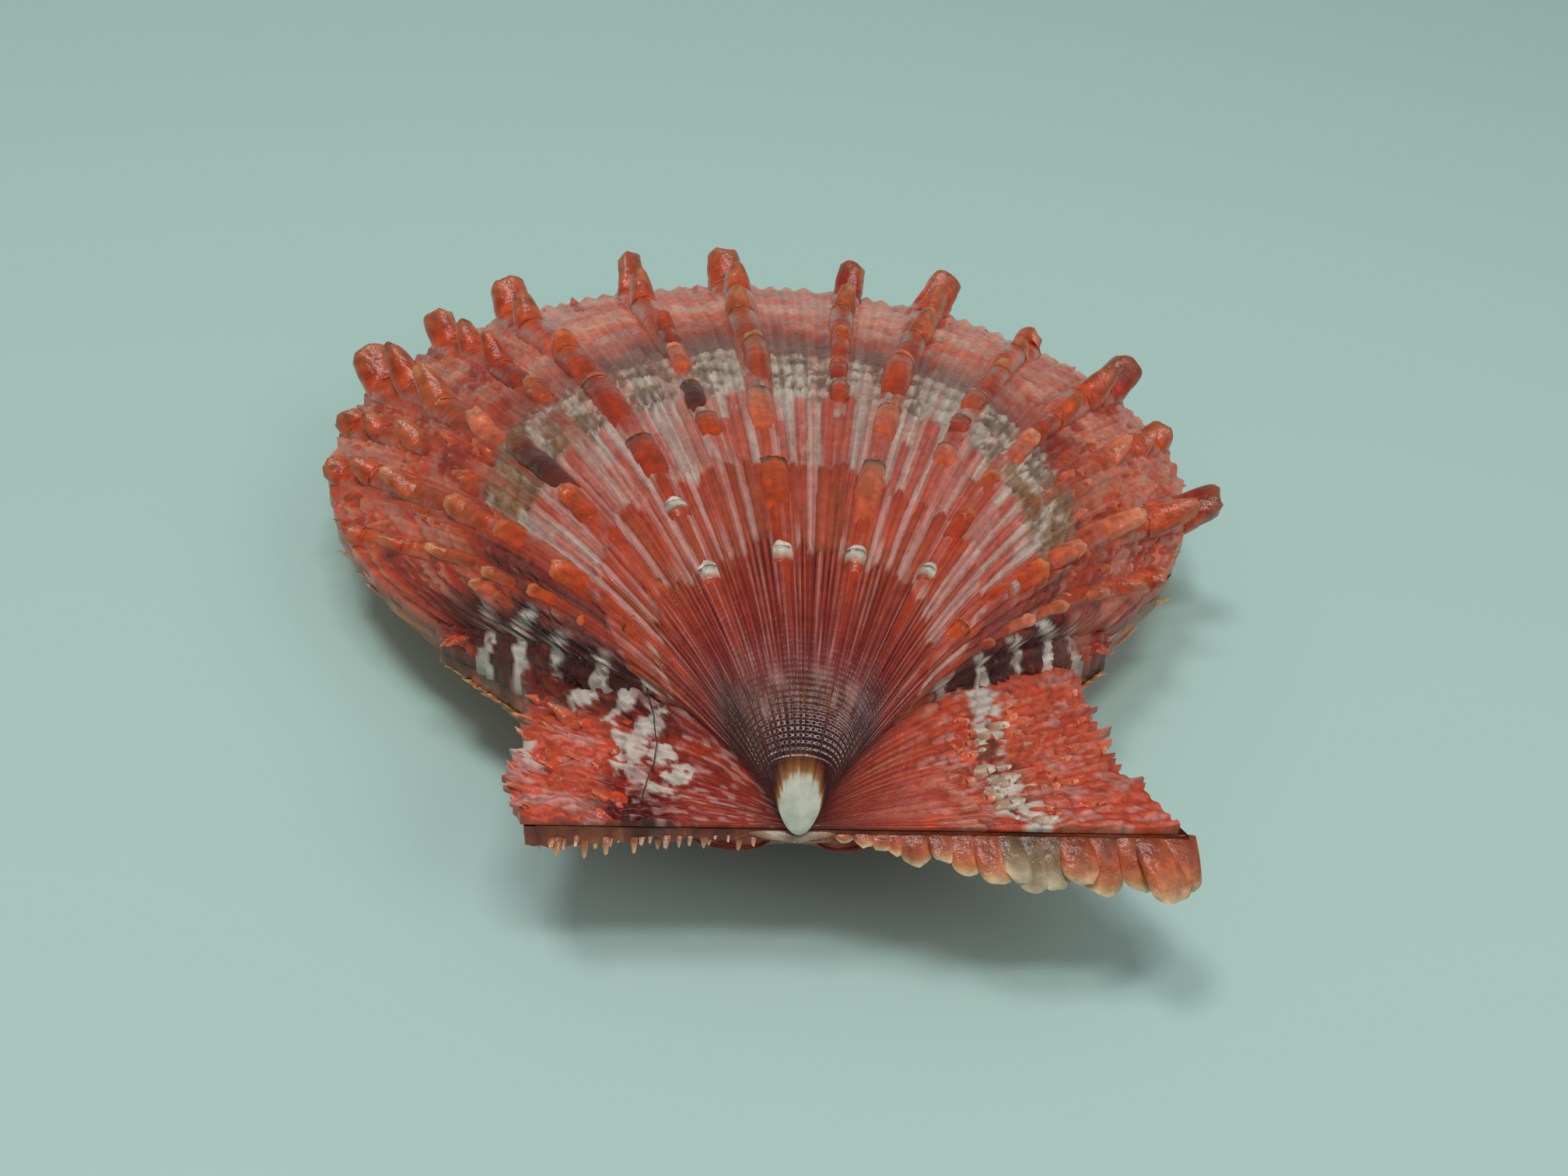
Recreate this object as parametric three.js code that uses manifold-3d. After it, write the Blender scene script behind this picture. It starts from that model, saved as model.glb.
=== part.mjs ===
// A closed spiny scallop shell lying on its lower valve. Millimetres, +Z up.
import * as THREE from 'three';
import { mergeVertices } from 'three/addons/utils/BufferGeometryUtils.js';
import Module from 'manifold-3d';

const wasm = await Module();
wasm.setup();

// Outline of the disc: an ellipse seen from the umbo, which is the origin of the shell
const HALF_LENGTH = 18;
const HALF_HEIGHT = 16.94;
const CENTRE_X = -0.54;
const CENTRE_Y = 23.3;
const DISC_HEIGHT = CENTRE_Y + HALF_HEIGHT;

// Vault of a valve: the growth spiral from umbo to margin and the arch from side to side
const SPIRAL = 2.63;
const ARCH_POWER = 2.3;
const ARCH_ROOT = 0.332;
const LEFT_LIMIT = 52;
const RIGHT_LIMIT = 50;
const FLANK_WIDTH = 5;
const UPPER_BEAK = 0.6;
const LOWER_BEAK = 0.1;
const BEAK_FADE = 12;
const UMBO_ROWS = [0.03, 0.07, 0.13, 0.19];
const FLANK_LINES = [2, 0.6];
const STEP_ROW = 0.008;

// Wall of a valve and the slit between the two valves
const RIM = 0.55;
const SLIT = 0.3;
const WALL = 1.1;
const HOLLOW_ROWS = [0.12, 0.25, 0.4, 0.6, 0.8, 0.94];
const HOLLOW_COLUMNS = 17;
const HOLLOW_INSET = 6;
const LOWER_BULGE = 0.68;
const LOWER_REACH = 1.0;

// Ears: edge distance from the umbo at angles from the mid line, in degrees
const UPPER_LEFT_EAR = [[52, 11.8], [57, 10.6], [64, 9.8], [73, 9.9], [82, 9.6], [90, 9.1]];
const UPPER_RIGHT_EAR = [[50, 13.2], [55, 12.6], [63, 11.7], [73, 11.2], [82, 11.7], [90, 12.3]];
const LOWER_LEFT_EAR = [[52, 12.0], [57, 10.8], [64, 9.9], [73, 10.0], [82, 9.7], [90, 9.4]];
const LOWER_RIGHT_EAR = [[50, 13.2], [54, 8.8], [59, 8.4], [65, 9.8], [76, 11.2], [90, 12.7]];
const EAR_LIFT = 2.1;
const EAR_SLOPE = 1.6;
const EAR_TOOTH = 0.3;
const EAR_STEP = 4.5;

// Ribs of the upper valve: angle, half width (degrees), growth stage where it starts,
// height at the margin, length of its spine at the margin and how far that leans to the right
const UPPER_RIBS = [
  { angle: -46, half: 1.0, start: 0.3, height: 0.5, spine: 0.8, lean: 0 },
  { angle: -41.3, half: 2.0, start: 0.1, height: 0.8, spine: 0.9, lean: 0 },
  { angle: -36.6, half: 1.0, start: 0.65, height: 0.7, spine: 1.2, lean: 0 },
  { angle: -32, half: 2.0, start: 0.1, height: 1.2, spine: 2.5, lean: 14 },
  { angle: -25.2, half: 1.3, start: 0.55, height: 0.9, spine: 2.2, lean: 8 },
  { angle: -19.3, half: 1.9, start: 0.1, height: 1.2, spine: 2.5, lean: 6 },
  { angle: -10, half: 1.3, start: 0.32, height: 0.9, spine: 2.7, lean: 0 },
  { angle: -2.8, half: 1.8, start: 0.1, height: 1.2, spine: 2.6, lean: -6 },
  { angle: 6, half: 1.1, start: 0.42, height: 0.9, spine: 2.4, lean: 8 },
  { angle: 12, half: 1.7, start: 0.1, height: 1.2, spine: 2.8, lean: 26 },
  { angle: 20.5, half: 1.3, start: 0.33, height: 0.9, spine: 1.3, lean: 0 },
  { angle: 27.6, half: 1.7, start: 0.1, height: 1.1, spine: 1.7, lean: 8 },
  { angle: 34, half: 1.1, start: 0.65, height: 0.7, spine: 1.0, lean: 0 },
  { angle: 41, half: 1.5, start: 0.1, height: 1.0, spine: 1.4, lean: 0 },
  { angle: 45.5, half: 0.9, start: 0.3, height: 0.5, spine: 0.8, lean: 0 },
];
const UPPER_STOPS = [0.25, 0.37, 0.48, 0.61, 0.75, 0.88];

// A rib wider than this (half width, degrees) has a flat crest, this share of its width
const FLAT_CREST = 1.45;
const CREST_SHARE = 0.45;

// Ribs of the lower valve are alike and lower, and start half way out
const LOWER_RIB_COUNT = 15;
const LOWER_RIB_SPAN = 45;
const LOWER_SPINE_WIDTH = 1.3;
const LOWER_STOPS = [0.34, 0.5, 0.66, 0.79, 0.9];

// Spines and scales
const SPINE_WIDTH = 1.5;
const SPINE_LIFT = 60;
const SECOND_LIFT = 46;
const SINGLE_SPINE = 0.85;
const ROOT_LIFT = 0.1;
const LAST_FRAME = 0.97;
const SCALE_SECTION = [[-0.5, -0.1], [-0.36, 0.32], [0, 0.46], [0.36, 0.32], [0.5, -0.1]];
const SCALE_STATIONS = [[0, 0.85], [0.5, 1], [0.85, 0.88], [1, 0.55]];

// Scales along the hinge edge of the lower valve
const FRONT_HINGE_SCALES = 9;
const BACK_HINGE_SCALES = 6;

// How the shell lies: ventral margin down, front side down (degrees)
const REST_PITCH = 4.45;
const REST_ROLL = -0.6;

const radians = THREE.MathUtils.degToRad;
const smoothstep = THREE.MathUtils.smoothstep;

// Distance from the umbo to the disc's outline at an angle from the mid line
function discReach(angle) {
  const sine = Math.sin(radians(angle));
  const cosine = Math.cos(radians(angle));
  const a = (sine / HALF_LENGTH) ** 2 + (cosine / HALF_HEIGHT) ** 2;
  const b = (sine * CENTRE_X) / HALF_LENGTH ** 2 + (cosine * CENTRE_Y) / HALF_HEIGHT ** 2;
  const c = (CENTRE_X / HALF_LENGTH) ** 2 + (CENTRE_Y / HALF_HEIGHT) ** 2 - 1;
  return (b + Math.sqrt(Math.max(b * b - a * c, 0))) / a;
}

function earReach(table, angle) {
  const next = Math.max(1, table.findIndex((row) => row[0] >= angle));
  const [angleA, reachA] = table[next - 1];
  const [angleB, reachB] = table[next];
  const share = THREE.MathUtils.clamp((angle - angleA) / (angleB - angleA), 0, 1);
  return THREE.MathUtils.lerp(reachA, reachB, share);
}

function limitOf(angle) {
  return angle < 0 ? LEFT_LIMIT : RIGHT_LIMIT;
}

function isEar(angle) {
  return Math.abs(angle) >= limitOf(angle);
}

// Smooth outer surface without ribs, at an angle and a growth stage from 0 to 1
function smoothPoint(valve, angle, growth) {
  const turn = radians(angle);
  if (isEar(angle)) {
    const table = angle < 0 ? valve.leftEar : valve.rightEar;
    const reach = growth * earReach(table, Math.abs(angle));
    const share = (90 - Math.abs(angle)) / (90 - limitOf(angle));
    const lift = EAR_LIFT * valve.bulge * Math.sin(Math.PI * growth ** 0.7) * share ** EAR_SLOPE;
    return new THREE.Vector3(reach * Math.sin(turn), reach * Math.cos(turn), lift);
  }
  const limit = limitOf(angle);
  const flank = 1 - smoothstep(Math.abs(angle), limit - FLANK_WIDTH, limit);
  const coil = -Math.log(growth) / SPIRAL;
  const arch = (1 - Math.abs(angle / limit) ** ARCH_POWER) ** ARCH_ROOT;
  const reach = growth * discReach(angle) * valve.reach;
  const beak = valve.beak * flank * (1 - growth) ** BEAK_FADE;
  return new THREE.Vector3(
    reach * Math.sin(turn),
    reach * Math.cos(turn) * Math.cos(coil * flank) - beak,
    growth * DISC_HEIGHT * arch * Math.sin(coil) * valve.bulge,
  );
}

// Local directions on the outer surface: towards the margin, across, and outwards
function surfaceFrame(valve, angle, growth) {
  const step = 0.01;
  const inner = smoothPoint(valve, angle, growth - step);
  const outer = smoothPoint(valve, angle, Math.min(growth + step, 1));
  const left = smoothPoint(valve, angle - step, growth);
  const right = smoothPoint(valve, angle + step, growth);
  const along = outer.sub(inner).normalize();
  const across = right.sub(left).normalize();
  const normal = across.clone().cross(along).normalize();
  return { along, normal, across: along.clone().cross(normal) };
}

// A rib rises as a row of shingles: each grows outwards and ends in a step at a growth stop
function shingle(stops, growth) {
  const ends = [0, ...stops, 1];
  const index = ends.findIndex((end) => growth <= end);
  const from = ends[Math.max(index - 1, 0)];
  return (growth - from) / (ends[index] - from || 1);
}

function ribRise(valve, rib, growth) {
  const grown = smoothstep(growth, rib.start * 0.6, rib.start + 0.12);
  return rib.height * grown * (0.3 + 0.7 * growth) * (0.35 + 0.65 * shingle(valve.stops, growth));
}

function outerPoint(valve, column, growth) {
  const point = smoothPoint(valve, column.angle, growth);
  if (column.tooth) {
    const edge = new THREE.Vector3(point.x, point.y, 0).normalize();
    return point.addScaledVector(edge, EAR_TOOTH * growth ** 6);
  }
  if (!column.rib) {
    return point;
  }
  const { normal } = surfaceFrame(valve, column.angle, Math.min(growth, LAST_FRAME));
  return point.addScaledVector(normal, ribRise(valve, column.rib, growth));
}

// Grid lines of an ear, every other one ending in a tooth on the ear's edge
function earColumns(side, limit) {
  const columns = [];
  const count = 2 * Math.round((90 - limit) / EAR_STEP / 2);
  for (let index = 0; index <= count; index += 1) {
    const angle = side * THREE.MathUtils.lerp(limit, 90, index / count);
    columns.push({ angle, tooth: index % 2 === 1 });
  }
  return columns;
}

// Grid lines that run from the umbo: feet and crest of each rib, the steep flanks, the ears
function columnsOf(valve) {
  const columns = [];
  for (const rib of valve.ribs) {
    const crest = rib.half * CREST_SHARE;
    columns.push({ angle: rib.angle - rib.half }, { angle: rib.angle + rib.half });
    if (rib.half > FLAT_CREST) {
      columns.push({ angle: rib.angle - crest, rib }, { angle: rib.angle + crest, rib });
    } else {
      columns.push({ angle: rib.angle, rib });
    }
  }
  for (const inset of FLANK_LINES) {
    columns.push({ angle: inset - LEFT_LIMIT }, { angle: RIGHT_LIMIT - inset });
  }
  columns.push(...earColumns(-1, LEFT_LIMIT), ...earColumns(1, RIGHT_LIMIT));
  return columns.sort((one, two) => one.angle - two.angle);
}

// Growth stages of the grid rows: two close rows at each stop make the step of the shingles
function rowsOf(valve) {
  const steps = valve.stops.flatMap((stop) => [stop, stop + STEP_ROW]);
  return [...UMBO_ROWS, ...steps, 1];
}

function solidFrom(points, triangles) {
  const vertProperties = new Float32Array(points.flatMap((point) => [point.x, point.y, point.z]));
  const triVerts = new Uint32Array(triangles.flat());
  return new wasm.Manifold(new wasm.Mesh({ numProp: 3, vertProperties, triVerts }));
}

// Closed block between a fan-shaped surface over the umbo and a flat base
function fanBlock(apex, surface, columnCount, rows, base) {
  const points = [apex];
  const at = (column, row) => 1 + column * rows.length + row;
  for (let column = 0; column < columnCount; column += 1) {
    rows.forEach((growth) => points.push(surface(column, growth)));
  }
  const lastRow = rows.length - 1;
  const lastColumn = columnCount - 1;
  const baseApex = points.length;
  points.push(new THREE.Vector3(apex.x, apex.y, base));
  for (let column = 0; column < columnCount; column += 1) {
    const edge = points[at(column, lastRow)];
    points.push(new THREE.Vector3(edge.x, edge.y, base));
  }
  const baseAt = (column) => baseApex + 1 + column;
  const triangles = [];
  for (let column = 0; column < lastColumn; column += 1) {
    triangles.push([0, at(column + 1, 0), at(column, 0)]);
    for (let row = 0; row < lastRow; row += 1) {
      const corner = at(column + 1, row + 1);
      triangles.push([at(column, row), at(column + 1, row), corner]);
      triangles.push([at(column, row), corner, at(column, row + 1)]);
    }
    triangles.push([at(column, lastRow), at(column + 1, lastRow), baseAt(column + 1)]);
    triangles.push([at(column, lastRow), baseAt(column + 1), baseAt(column)]);
    triangles.push([baseApex, baseAt(column), baseAt(column + 1)]);
  }
  const left = baseAt(0);
  const right = baseAt(lastColumn);
  triangles.push([left, baseApex, 0], [left, 0, at(0, 0)]);
  triangles.push([right, 0, baseApex], [right, at(lastColumn, 0), 0]);
  for (let row = 0; row < lastRow; row += 1) {
    triangles.push([left, at(0, row), at(0, row + 1)]);
    triangles.push([right, at(lastColumn, row + 1), at(lastColumn, row)]);
  }
  return solidFrom(points, triangles);
}

// Outer body of a valve with its ribs and toothed ear edges
function valveBody(valve) {
  const columns = columnsOf(valve);
  const tip = smoothPoint(valve, 0, UMBO_ROWS[0] / 2);
  const apex = new THREE.Vector3(0, tip.y, 0.8 * tip.z);
  const surface = (column, growth) => outerPoint(valve, columns[column], growth);
  return fanBlock(apex, surface, columns.length, rowsOf(valve), SLIT / 2 - RIM);
}

// Hollow under the vault, one wall thickness inside the outer surface
function valveHollow(valve) {
  const surface = (column, growth) => {
    const share = (2 * column) / (HOLLOW_COLUMNS - 1) - 1;
    const angle = share * (limitOf(share) - HOLLOW_INSET);
    const { normal } = surfaceFrame(valve, angle, growth);
    return smoothPoint(valve, angle, growth).addScaledVector(normal, -WALL);
  };
  const tip = smoothPoint(valve, 0, 0.8 * HOLLOW_ROWS[0]);
  const apex = new THREE.Vector3(tip.x, tip.y, tip.z - 2 * WALL);
  return fanBlock(apex, surface, HOLLOW_COLUMNS, HOLLOW_ROWS, -RIM - WALL);
}

// A vaulted scale that leaves the surface along it and bends up towards its blunt tip
function vaultedScale(root, frame, length, width, lift) {
  const points = [];
  for (const [share, swell] of SCALE_STATIONS) {
    const tilt = radians(lift) * (0.35 + 0.65 * share);
    const forward = frame.along.clone().multiplyScalar(Math.cos(tilt));
    const heading = forward.addScaledVector(frame.normal, Math.sin(tilt));
    const outward = frame.across.clone().cross(heading).normalize();
    const centre = root.clone().addScaledVector(heading, length * share);
    for (const [sideways, rise] of SCALE_SECTION) {
      const point = centre.clone().addScaledVector(frame.across, sideways * width * swell);
      points.push(point.addScaledVector(outward, rise * width * swell));
    }
  }
  return solidFrom(points, tubeTriangles(SCALE_STATIONS.length, SCALE_SECTION.length));
}

// Triangles of a capped tube of equal rings
function tubeTriangles(rings, around) {
  const triangles = [];
  for (let ring = 0; ring + 1 < rings; ring += 1) {
    for (let side = 0; side < around; side += 1) {
      const a = ring * around + side;
      const b = ring * around + ((side + 1) % around);
      triangles.push([a, b + around, a + around], [a, b, b + around]);
    }
  }
  const last = (rings - 1) * around;
  for (let side = 1; side + 1 < around; side += 1) {
    triangles.push([0, side + 1, side], [last, last + side, last + side + 1]);
  }
  return triangles;
}

// A scale standing on a rib, turned sideways by its lean
function ribScale(valve, rib, growth, length, width, lift) {
  const frame = surfaceFrame(valve, rib.angle, Math.min(growth, LAST_FRAME));
  const root = smoothPoint(valve, rib.angle, growth).addScaledVector(frame.normal, ROOT_LIFT);
  frame.along.applyAxisAngle(frame.normal, radians(-rib.lean));
  frame.across.applyAxisAngle(frame.normal, radians(-rib.lean));
  return vaultedScale(root, frame, length, width, lift);
}

// Spines of the upper valve: one at the margin and one behind it on every rib
function upperSpines(valve) {
  const solids = [];
  for (const rib of valve.ribs) {
    const width = SPINE_WIDTH * (0.55 + 0.25 * rib.half);
    solids.push(ribScale(valve, rib, 0.955, rib.spine, width, SPINE_LIFT));
    if (rib.spine > SINGLE_SPINE) {
      solids.push(ribScale(valve, rib, 0.84, rib.spine * 0.8, width, SECOND_LIFT));
    }
  }
  return solids;
}

function lowerRibs() {
  const ribs = [];
  for (let index = 0; index < LOWER_RIB_COUNT; index += 1) {
    const angle = LOWER_RIB_SPAN * ((2 * index) / (LOWER_RIB_COUNT - 1) - 1);
    ribs.push({ angle, half: 1.4, start: 0.5, height: 0.6, spine: 1.3, lean: 0 });
  }
  return ribs;
}

function lowerSpines(valve) {
  return valve.ribs.map((rib) => ribScale(valve, rib, 0.965, rib.spine, LOWER_SPINE_WIDTH, 20));
}

// Row of scales on the hinge edge of the lower valve, growing towards the ends of the ears
function hingeScales() {
  const solids = [];
  const addRow = (count, from, to, smallest, largest) => {
    for (let index = 0; index < count; index += 1) {
      const share = index / (count - 1);
      const size = THREE.MathUtils.lerp(smallest, largest, share ** 1.5);
      const root = new THREE.Vector3(THREE.MathUtils.lerp(from, to, share), 0.3, 0.35 * size - 0.4);
      const along = new THREE.Vector3(Math.sign(to) * 0.25, -1, 0).normalize();
      const normal = new THREE.Vector3(0, 0, 1);
      const frame = { along, normal, across: along.clone().cross(normal) };
      solids.push(vaultedScale(root, frame, 0.5 + size, 0.55 + 0.6 * size, 35));
    }
  };
  addRow(FRONT_HINGE_SCALES, 4.2, 12.2, 0.3, 1.3);
  addRow(BACK_HINGE_SCALES, -3.4, -9.2, 0.1, 0.4);
  return solids;
}

function joined(body, solids) {
  return solids.reduce((sum, solid) => sum.add(solid), body);
}

// Geometry of a finished valve, laid down as the shell rests
function valveGeometry(solid, placement) {
  const mesh = solid.getMesh();
  const geometry = new THREE.BufferGeometry();
  const positions = [];
  for (let vertex = 0; vertex < mesh.numVert; vertex += 1) {
    const start = vertex * mesh.numProp;
    positions.push(...mesh.vertProperties.slice(start, start + 3));
  }
  geometry.setAttribute('position', new THREE.Float32BufferAttribute(positions, 3));
  geometry.setIndex([...mesh.triVerts]);
  geometry.applyMatrix4(placement);
  if (placement.determinant() < 0) {
    const index = geometry.getIndex();
    for (let corner = 0; corner < index.count; corner += 3) {
      const second = index.getX(corner + 1);
      index.setX(corner + 1, index.getX(corner + 2));
      index.setX(corner + 2, second);
    }
  }
  return mergeVertices(geometry, 1e-3);
}

function valveMesh(name, geometry, color) {
  const material = new THREE.MeshStandardMaterial({ color, roughness: 0.45, metalness: 0 });
  const mesh = new THREE.Mesh(geometry, material);
  mesh.name = name;
  return mesh;
}

const upper = {
  ribs: UPPER_RIBS,
  stops: UPPER_STOPS,
  leftEar: UPPER_LEFT_EAR,
  rightEar: UPPER_RIGHT_EAR,
  bulge: 1,
  beak: UPPER_BEAK,
  reach: 1,
};
const lower = {
  ribs: lowerRibs(),
  stops: LOWER_STOPS,
  leftEar: LOWER_LEFT_EAR,
  rightEar: LOWER_RIGHT_EAR,
  bulge: LOWER_BULGE,
  beak: LOWER_BEAK,
  reach: LOWER_REACH,
};

const upperSolid = joined(valveBody(upper), upperSpines(upper)).subtract(valveHollow(upper));
const lowerExtras = [...lowerSpines(lower), ...hingeScales()];
const lowerSolid = joined(valveBody(lower), lowerExtras).subtract(valveHollow(lower));

const lean = new THREE.Euler(radians(-REST_PITCH), radians(REST_ROLL), 0);
const rest = new THREE.Matrix4().makeRotationFromEuler(lean);
const turnedOver = new THREE.Matrix4().makeTranslation(0, 0, -2 * RIM);
turnedOver.multiply(new THREE.Matrix4().makeScale(1, 1, -1));
const upperGeometry = valveGeometry(upperSolid, rest);
const lowerGeometry = valveGeometry(lowerSolid, rest.clone().multiply(turnedOver));

const group = new THREE.Group();
group.add(valveMesh('upper_valve', upperGeometry, 0xb5442f));
group.add(valveMesh('lower_valve', lowerGeometry, 0xb0472c));

// Stand the lowest point on the floor, with the middle of the outline over the origin
const box = new THREE.Box3().setFromObject(group);
const centre = box.getCenter(new THREE.Vector3());
for (const mesh of group.children) {
  mesh.geometry.translate(-centre.x, -centre.y, -box.min.z);
}

export default group;
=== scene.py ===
"""A closed spiny scallop shell lying on its lower valve, on a plain pale floor."""
import math

import bpy
import numpy as np
from mathutils import Matrix, Vector


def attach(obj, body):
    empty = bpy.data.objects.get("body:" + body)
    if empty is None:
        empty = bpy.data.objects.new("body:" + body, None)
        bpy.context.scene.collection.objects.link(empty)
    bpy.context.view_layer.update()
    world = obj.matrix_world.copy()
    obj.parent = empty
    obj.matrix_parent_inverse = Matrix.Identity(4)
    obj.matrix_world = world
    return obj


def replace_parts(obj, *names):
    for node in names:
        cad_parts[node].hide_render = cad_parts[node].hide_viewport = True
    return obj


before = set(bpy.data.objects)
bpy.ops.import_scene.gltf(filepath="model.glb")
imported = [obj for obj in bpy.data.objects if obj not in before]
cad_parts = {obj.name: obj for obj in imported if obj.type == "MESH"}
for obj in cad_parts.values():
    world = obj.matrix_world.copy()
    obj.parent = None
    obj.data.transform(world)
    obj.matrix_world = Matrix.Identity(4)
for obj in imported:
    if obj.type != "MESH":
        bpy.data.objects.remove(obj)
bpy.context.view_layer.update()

# Outline and vault of the valves, in millimetres from the umbo, as in the CAD
HALF_LENGTH = 18.0
HALF_HEIGHT = 16.94
CENTRE_X = -0.54
CENTRE_Y = 23.3
DISC_HEIGHT = CENTRE_Y + HALF_HEIGHT
SPIRAL = 2.63
ARCH_POWER = 2.3
ARCH_ROOT = 0.332
LEFT_LIMIT = 52.0
RIGHT_LIMIT = 50.0
FLANK_WIDTH = 5.0
BEAK_FADE = 12
BEAK_LENGTH = 0.014
RIM = 0.55
SLIT = 0.08
WALL = 1.1
EAR_LIFT = 2.1
EAR_SLOPE = 1.6
BASE = SLIT / 2 - RIM
EAR_SEAM = 0.14
EAR_SLIT = 0.08
LOWER_EAR_SEAM = EAR_SLIT - EAR_SEAM - 2 * RIM

# How the shell lies, and where its umbo is over the row's origin (degrees, mm)
REST_PITCH = 4.45
REST_ROLL = -0.6
SHIFT = np.array([0.5322, -19.5931, 6.4234])

# Camera of the photograph in the shell's own axes (mm)
CAMERA_PLACE = np.array([-3.917, -39.206, 36.863])
CAMERA_RIGHT = np.array([0.997826, -0.036547, 0.05484])
CAMERA_UP = np.array([-0.023987, 0.573643, 0.818754])
CAMERA_LENS = 38.39
SENSOR_WIDTH = 36.0

# Mesh of a valve
EAR_COLUMNS = 96
EAR_TUCK = 3.0
DISC_ROWS = 140
EAR_ROWS = 120
ROW_POWER = 1.5
FIRST_GROWTH = 0.0008
INNER_GROWTHS = (0.97, 0.93, 0.8, 0.6, 0.4, 0.25)

# Riblets of each surface: period (degrees) and seed
UPPER_RIBLETS = (1.35, 11)
UPPER_EAR_RIBLETS = (2.1, 12)
TIP_RIBLETS = (2.6, 13)
LOWER_RIBLETS = (1.9, 14)
LOWER_EAR_RIBLETS = (2.1, 15)

# Growth stops where the older edge stands over the younger shell: stage, height (mm)
LAMELLAE = ((0.252, 0.07), (0.366, 0.12), (0.502, 0.13), (0.535, 0.13), (0.56, 0.15),
            (0.582, 0.15), (0.604, 0.13), (0.7, 0.06), (0.785, 0.06))

UPPER = {
    "bulge": 1.0,
    "columns": 515,
    "beak": 0.15,
    "girth": 2.0,
    "ear_raise": 0.25,
    "ear_spread": 0.0,
    "left_ear": ([49, 52, 57, 64, 73, 82, 90], [12.0, 11.8, 10.6, 9.7, 9.6, 9.3, 8.8]),
    "right_ear": ([47, 50, 55, 63, 73, 82, 90], [13.4, 13.2, 12.6, 11.7, 11.2, 11.7, 12.3]),
    # angle, half width, start, height, ends of its scales, spine length, lean
    "ribs": [
        (-46.0, 1.0, 0.3, 0.5, (0.42, 0.52, 0.62, 0.73, 0.84), 0.8, 0),
        (-41.3, 2.0, 0.1, 0.8, (0.31, 0.44, 0.56, 0.64, 0.77, 0.87), 1.2, 0),
        (-36.6, 1.0, 0.65, 0.7, (0.78, 0.88), 1.2, 0),
        (-32.0, 2.0, 0.1, 1.2, (0.28, 0.35, 0.44, 0.56, 0.65, 0.78, 0.87), 2.5, 14),
        (-25.2, 1.3, 0.55, 0.9, (0.65, 0.76, 0.87), 2.2, 8),
        (-19.3, 1.9, 0.1, 1.2, (0.245, 0.335, 0.45, 0.59, 0.7, 0.85), 2.5, 6),
        (-10.0, 1.3, 0.32, 0.9, (0.46, 0.53, 0.62, 0.7, 0.84), 2.7, 0),
        (-2.8, 1.8, 0.1, 1.2, (0.25, 0.37, 0.5, 0.62, 0.75, 0.86), 2.6, -6),
        (6.0, 1.1, 0.42, 0.9, (0.53, 0.59, 0.67, 0.8), 2.4, 8),
        (12.0, 1.7, 0.1, 1.2, (0.255, 0.385, 0.5, 0.62, 0.74, 0.86), 2.8, 26),
        (20.5, 1.3, 0.33, 0.9, (0.47, 0.55, 0.62, 0.74, 0.86), 1.3, 0),
        (27.6, 1.7, 0.1, 1.1, (0.29, 0.39, 0.47, 0.59, 0.7, 0.83), 2.5, 16),
        (34.0, 1.1, 0.65, 0.7, (0.77, 0.88), 1.3, 8),
        (41.0, 1.6, 0.1, 1.0, (0.33, 0.42, 0.51, 0.6, 0.7, 0.83), 2.4, 12),
        (45.5, 0.9, 0.3, 0.5, (0.42, 0.52, 0.62, 0.73, 0.84), 0.8, 0),
    ],
}
LOWER_RIB_ANGLES = np.linspace(-45, 45, 15)
LOWER_SCALE_ENDS = (0.58, 0.66, 0.74, 0.82, 0.9)
LOWER = {
    "bulge": 0.68,
    "columns": 320,
    "beak": -2.0,
    "girth": 0.6,
    "ear_raise": -0.88,
    "ear_spread": 0.38,
    "left_ear": ([49, 52, 57, 64, 73, 82, 90], [12.2, 12.0, 10.4, 9.3, 9.1, 8.8, 8.7]),
    "right_ear": ([47, 50, 54, 59, 65, 76, 90], [14.0, 13.2, 8.8, 8.4, 9.8, 11.2, 12.7]),
    "ribs": [(angle, 1.4, 0.5, 0.6, LOWER_SCALE_ENDS, 1.3, 0) for angle in LOWER_RIB_ANGLES],
}

# A hair that lies over the back ear: radius and lift (mm), angle and growth stage along it
HAIR_RADIUS = 0.024
HAIR_LIFT = 0.42
HAIR = ((-47.0, 0.56), (-52.1, 0.531), (-62.8, 0.526), (-70.5, 0.512), (-83.0, 0.543))

WARMTH = np.array([1.02, 0.97, 0.86])

random = np.random.default_rng(7)
uniform = random.uniform
join = np.concatenate


def ease(low, high, value):
    """Smooth step from 0 at low to 1 at high; low may be the larger of the two."""
    share = np.clip((value - low) / (high - low), 0, 1)
    return share * share * (3 - 2 * share)


def zone(start, full, fade, end, value):
    """1 from full to fade, easing to 0 at start and end."""
    return ease(start, full, value) * ease(end, fade, value)


def saw(value):
    """Rises from 0 to 1 over each unit."""
    return value - np.floor(value)


def hash_noise(column, row, seed):
    return saw(np.sin(column * 127.1 + row * 311.7 + seed * 74.7) * 43758.5453)


def noise(x, y, seed):
    """Smooth noise from 0 to 1 on a unit lattice."""
    column, row = np.floor(x), np.floor(y)
    across, along = ease(0, 1, x - column), ease(0, 1, y - row)

    def between(line):
        left, right = hash_noise(column, line, seed), hash_noise(column + 1, line, seed)
        return left * (1 - across) + right * across

    return between(row) * (1 - along) + between(row + 1) * along


def mottle(x, y, seed):
    """Noise of three sizes together, from 0 to 1."""
    coarse, middle = noise(x, y, seed), noise(2.1 * x, 2.1 * y, seed + 1)
    return 0.5 * coarse + 0.3 * middle + 0.2 * noise(4.3 * x, 4.3 * y, seed + 2)


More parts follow.
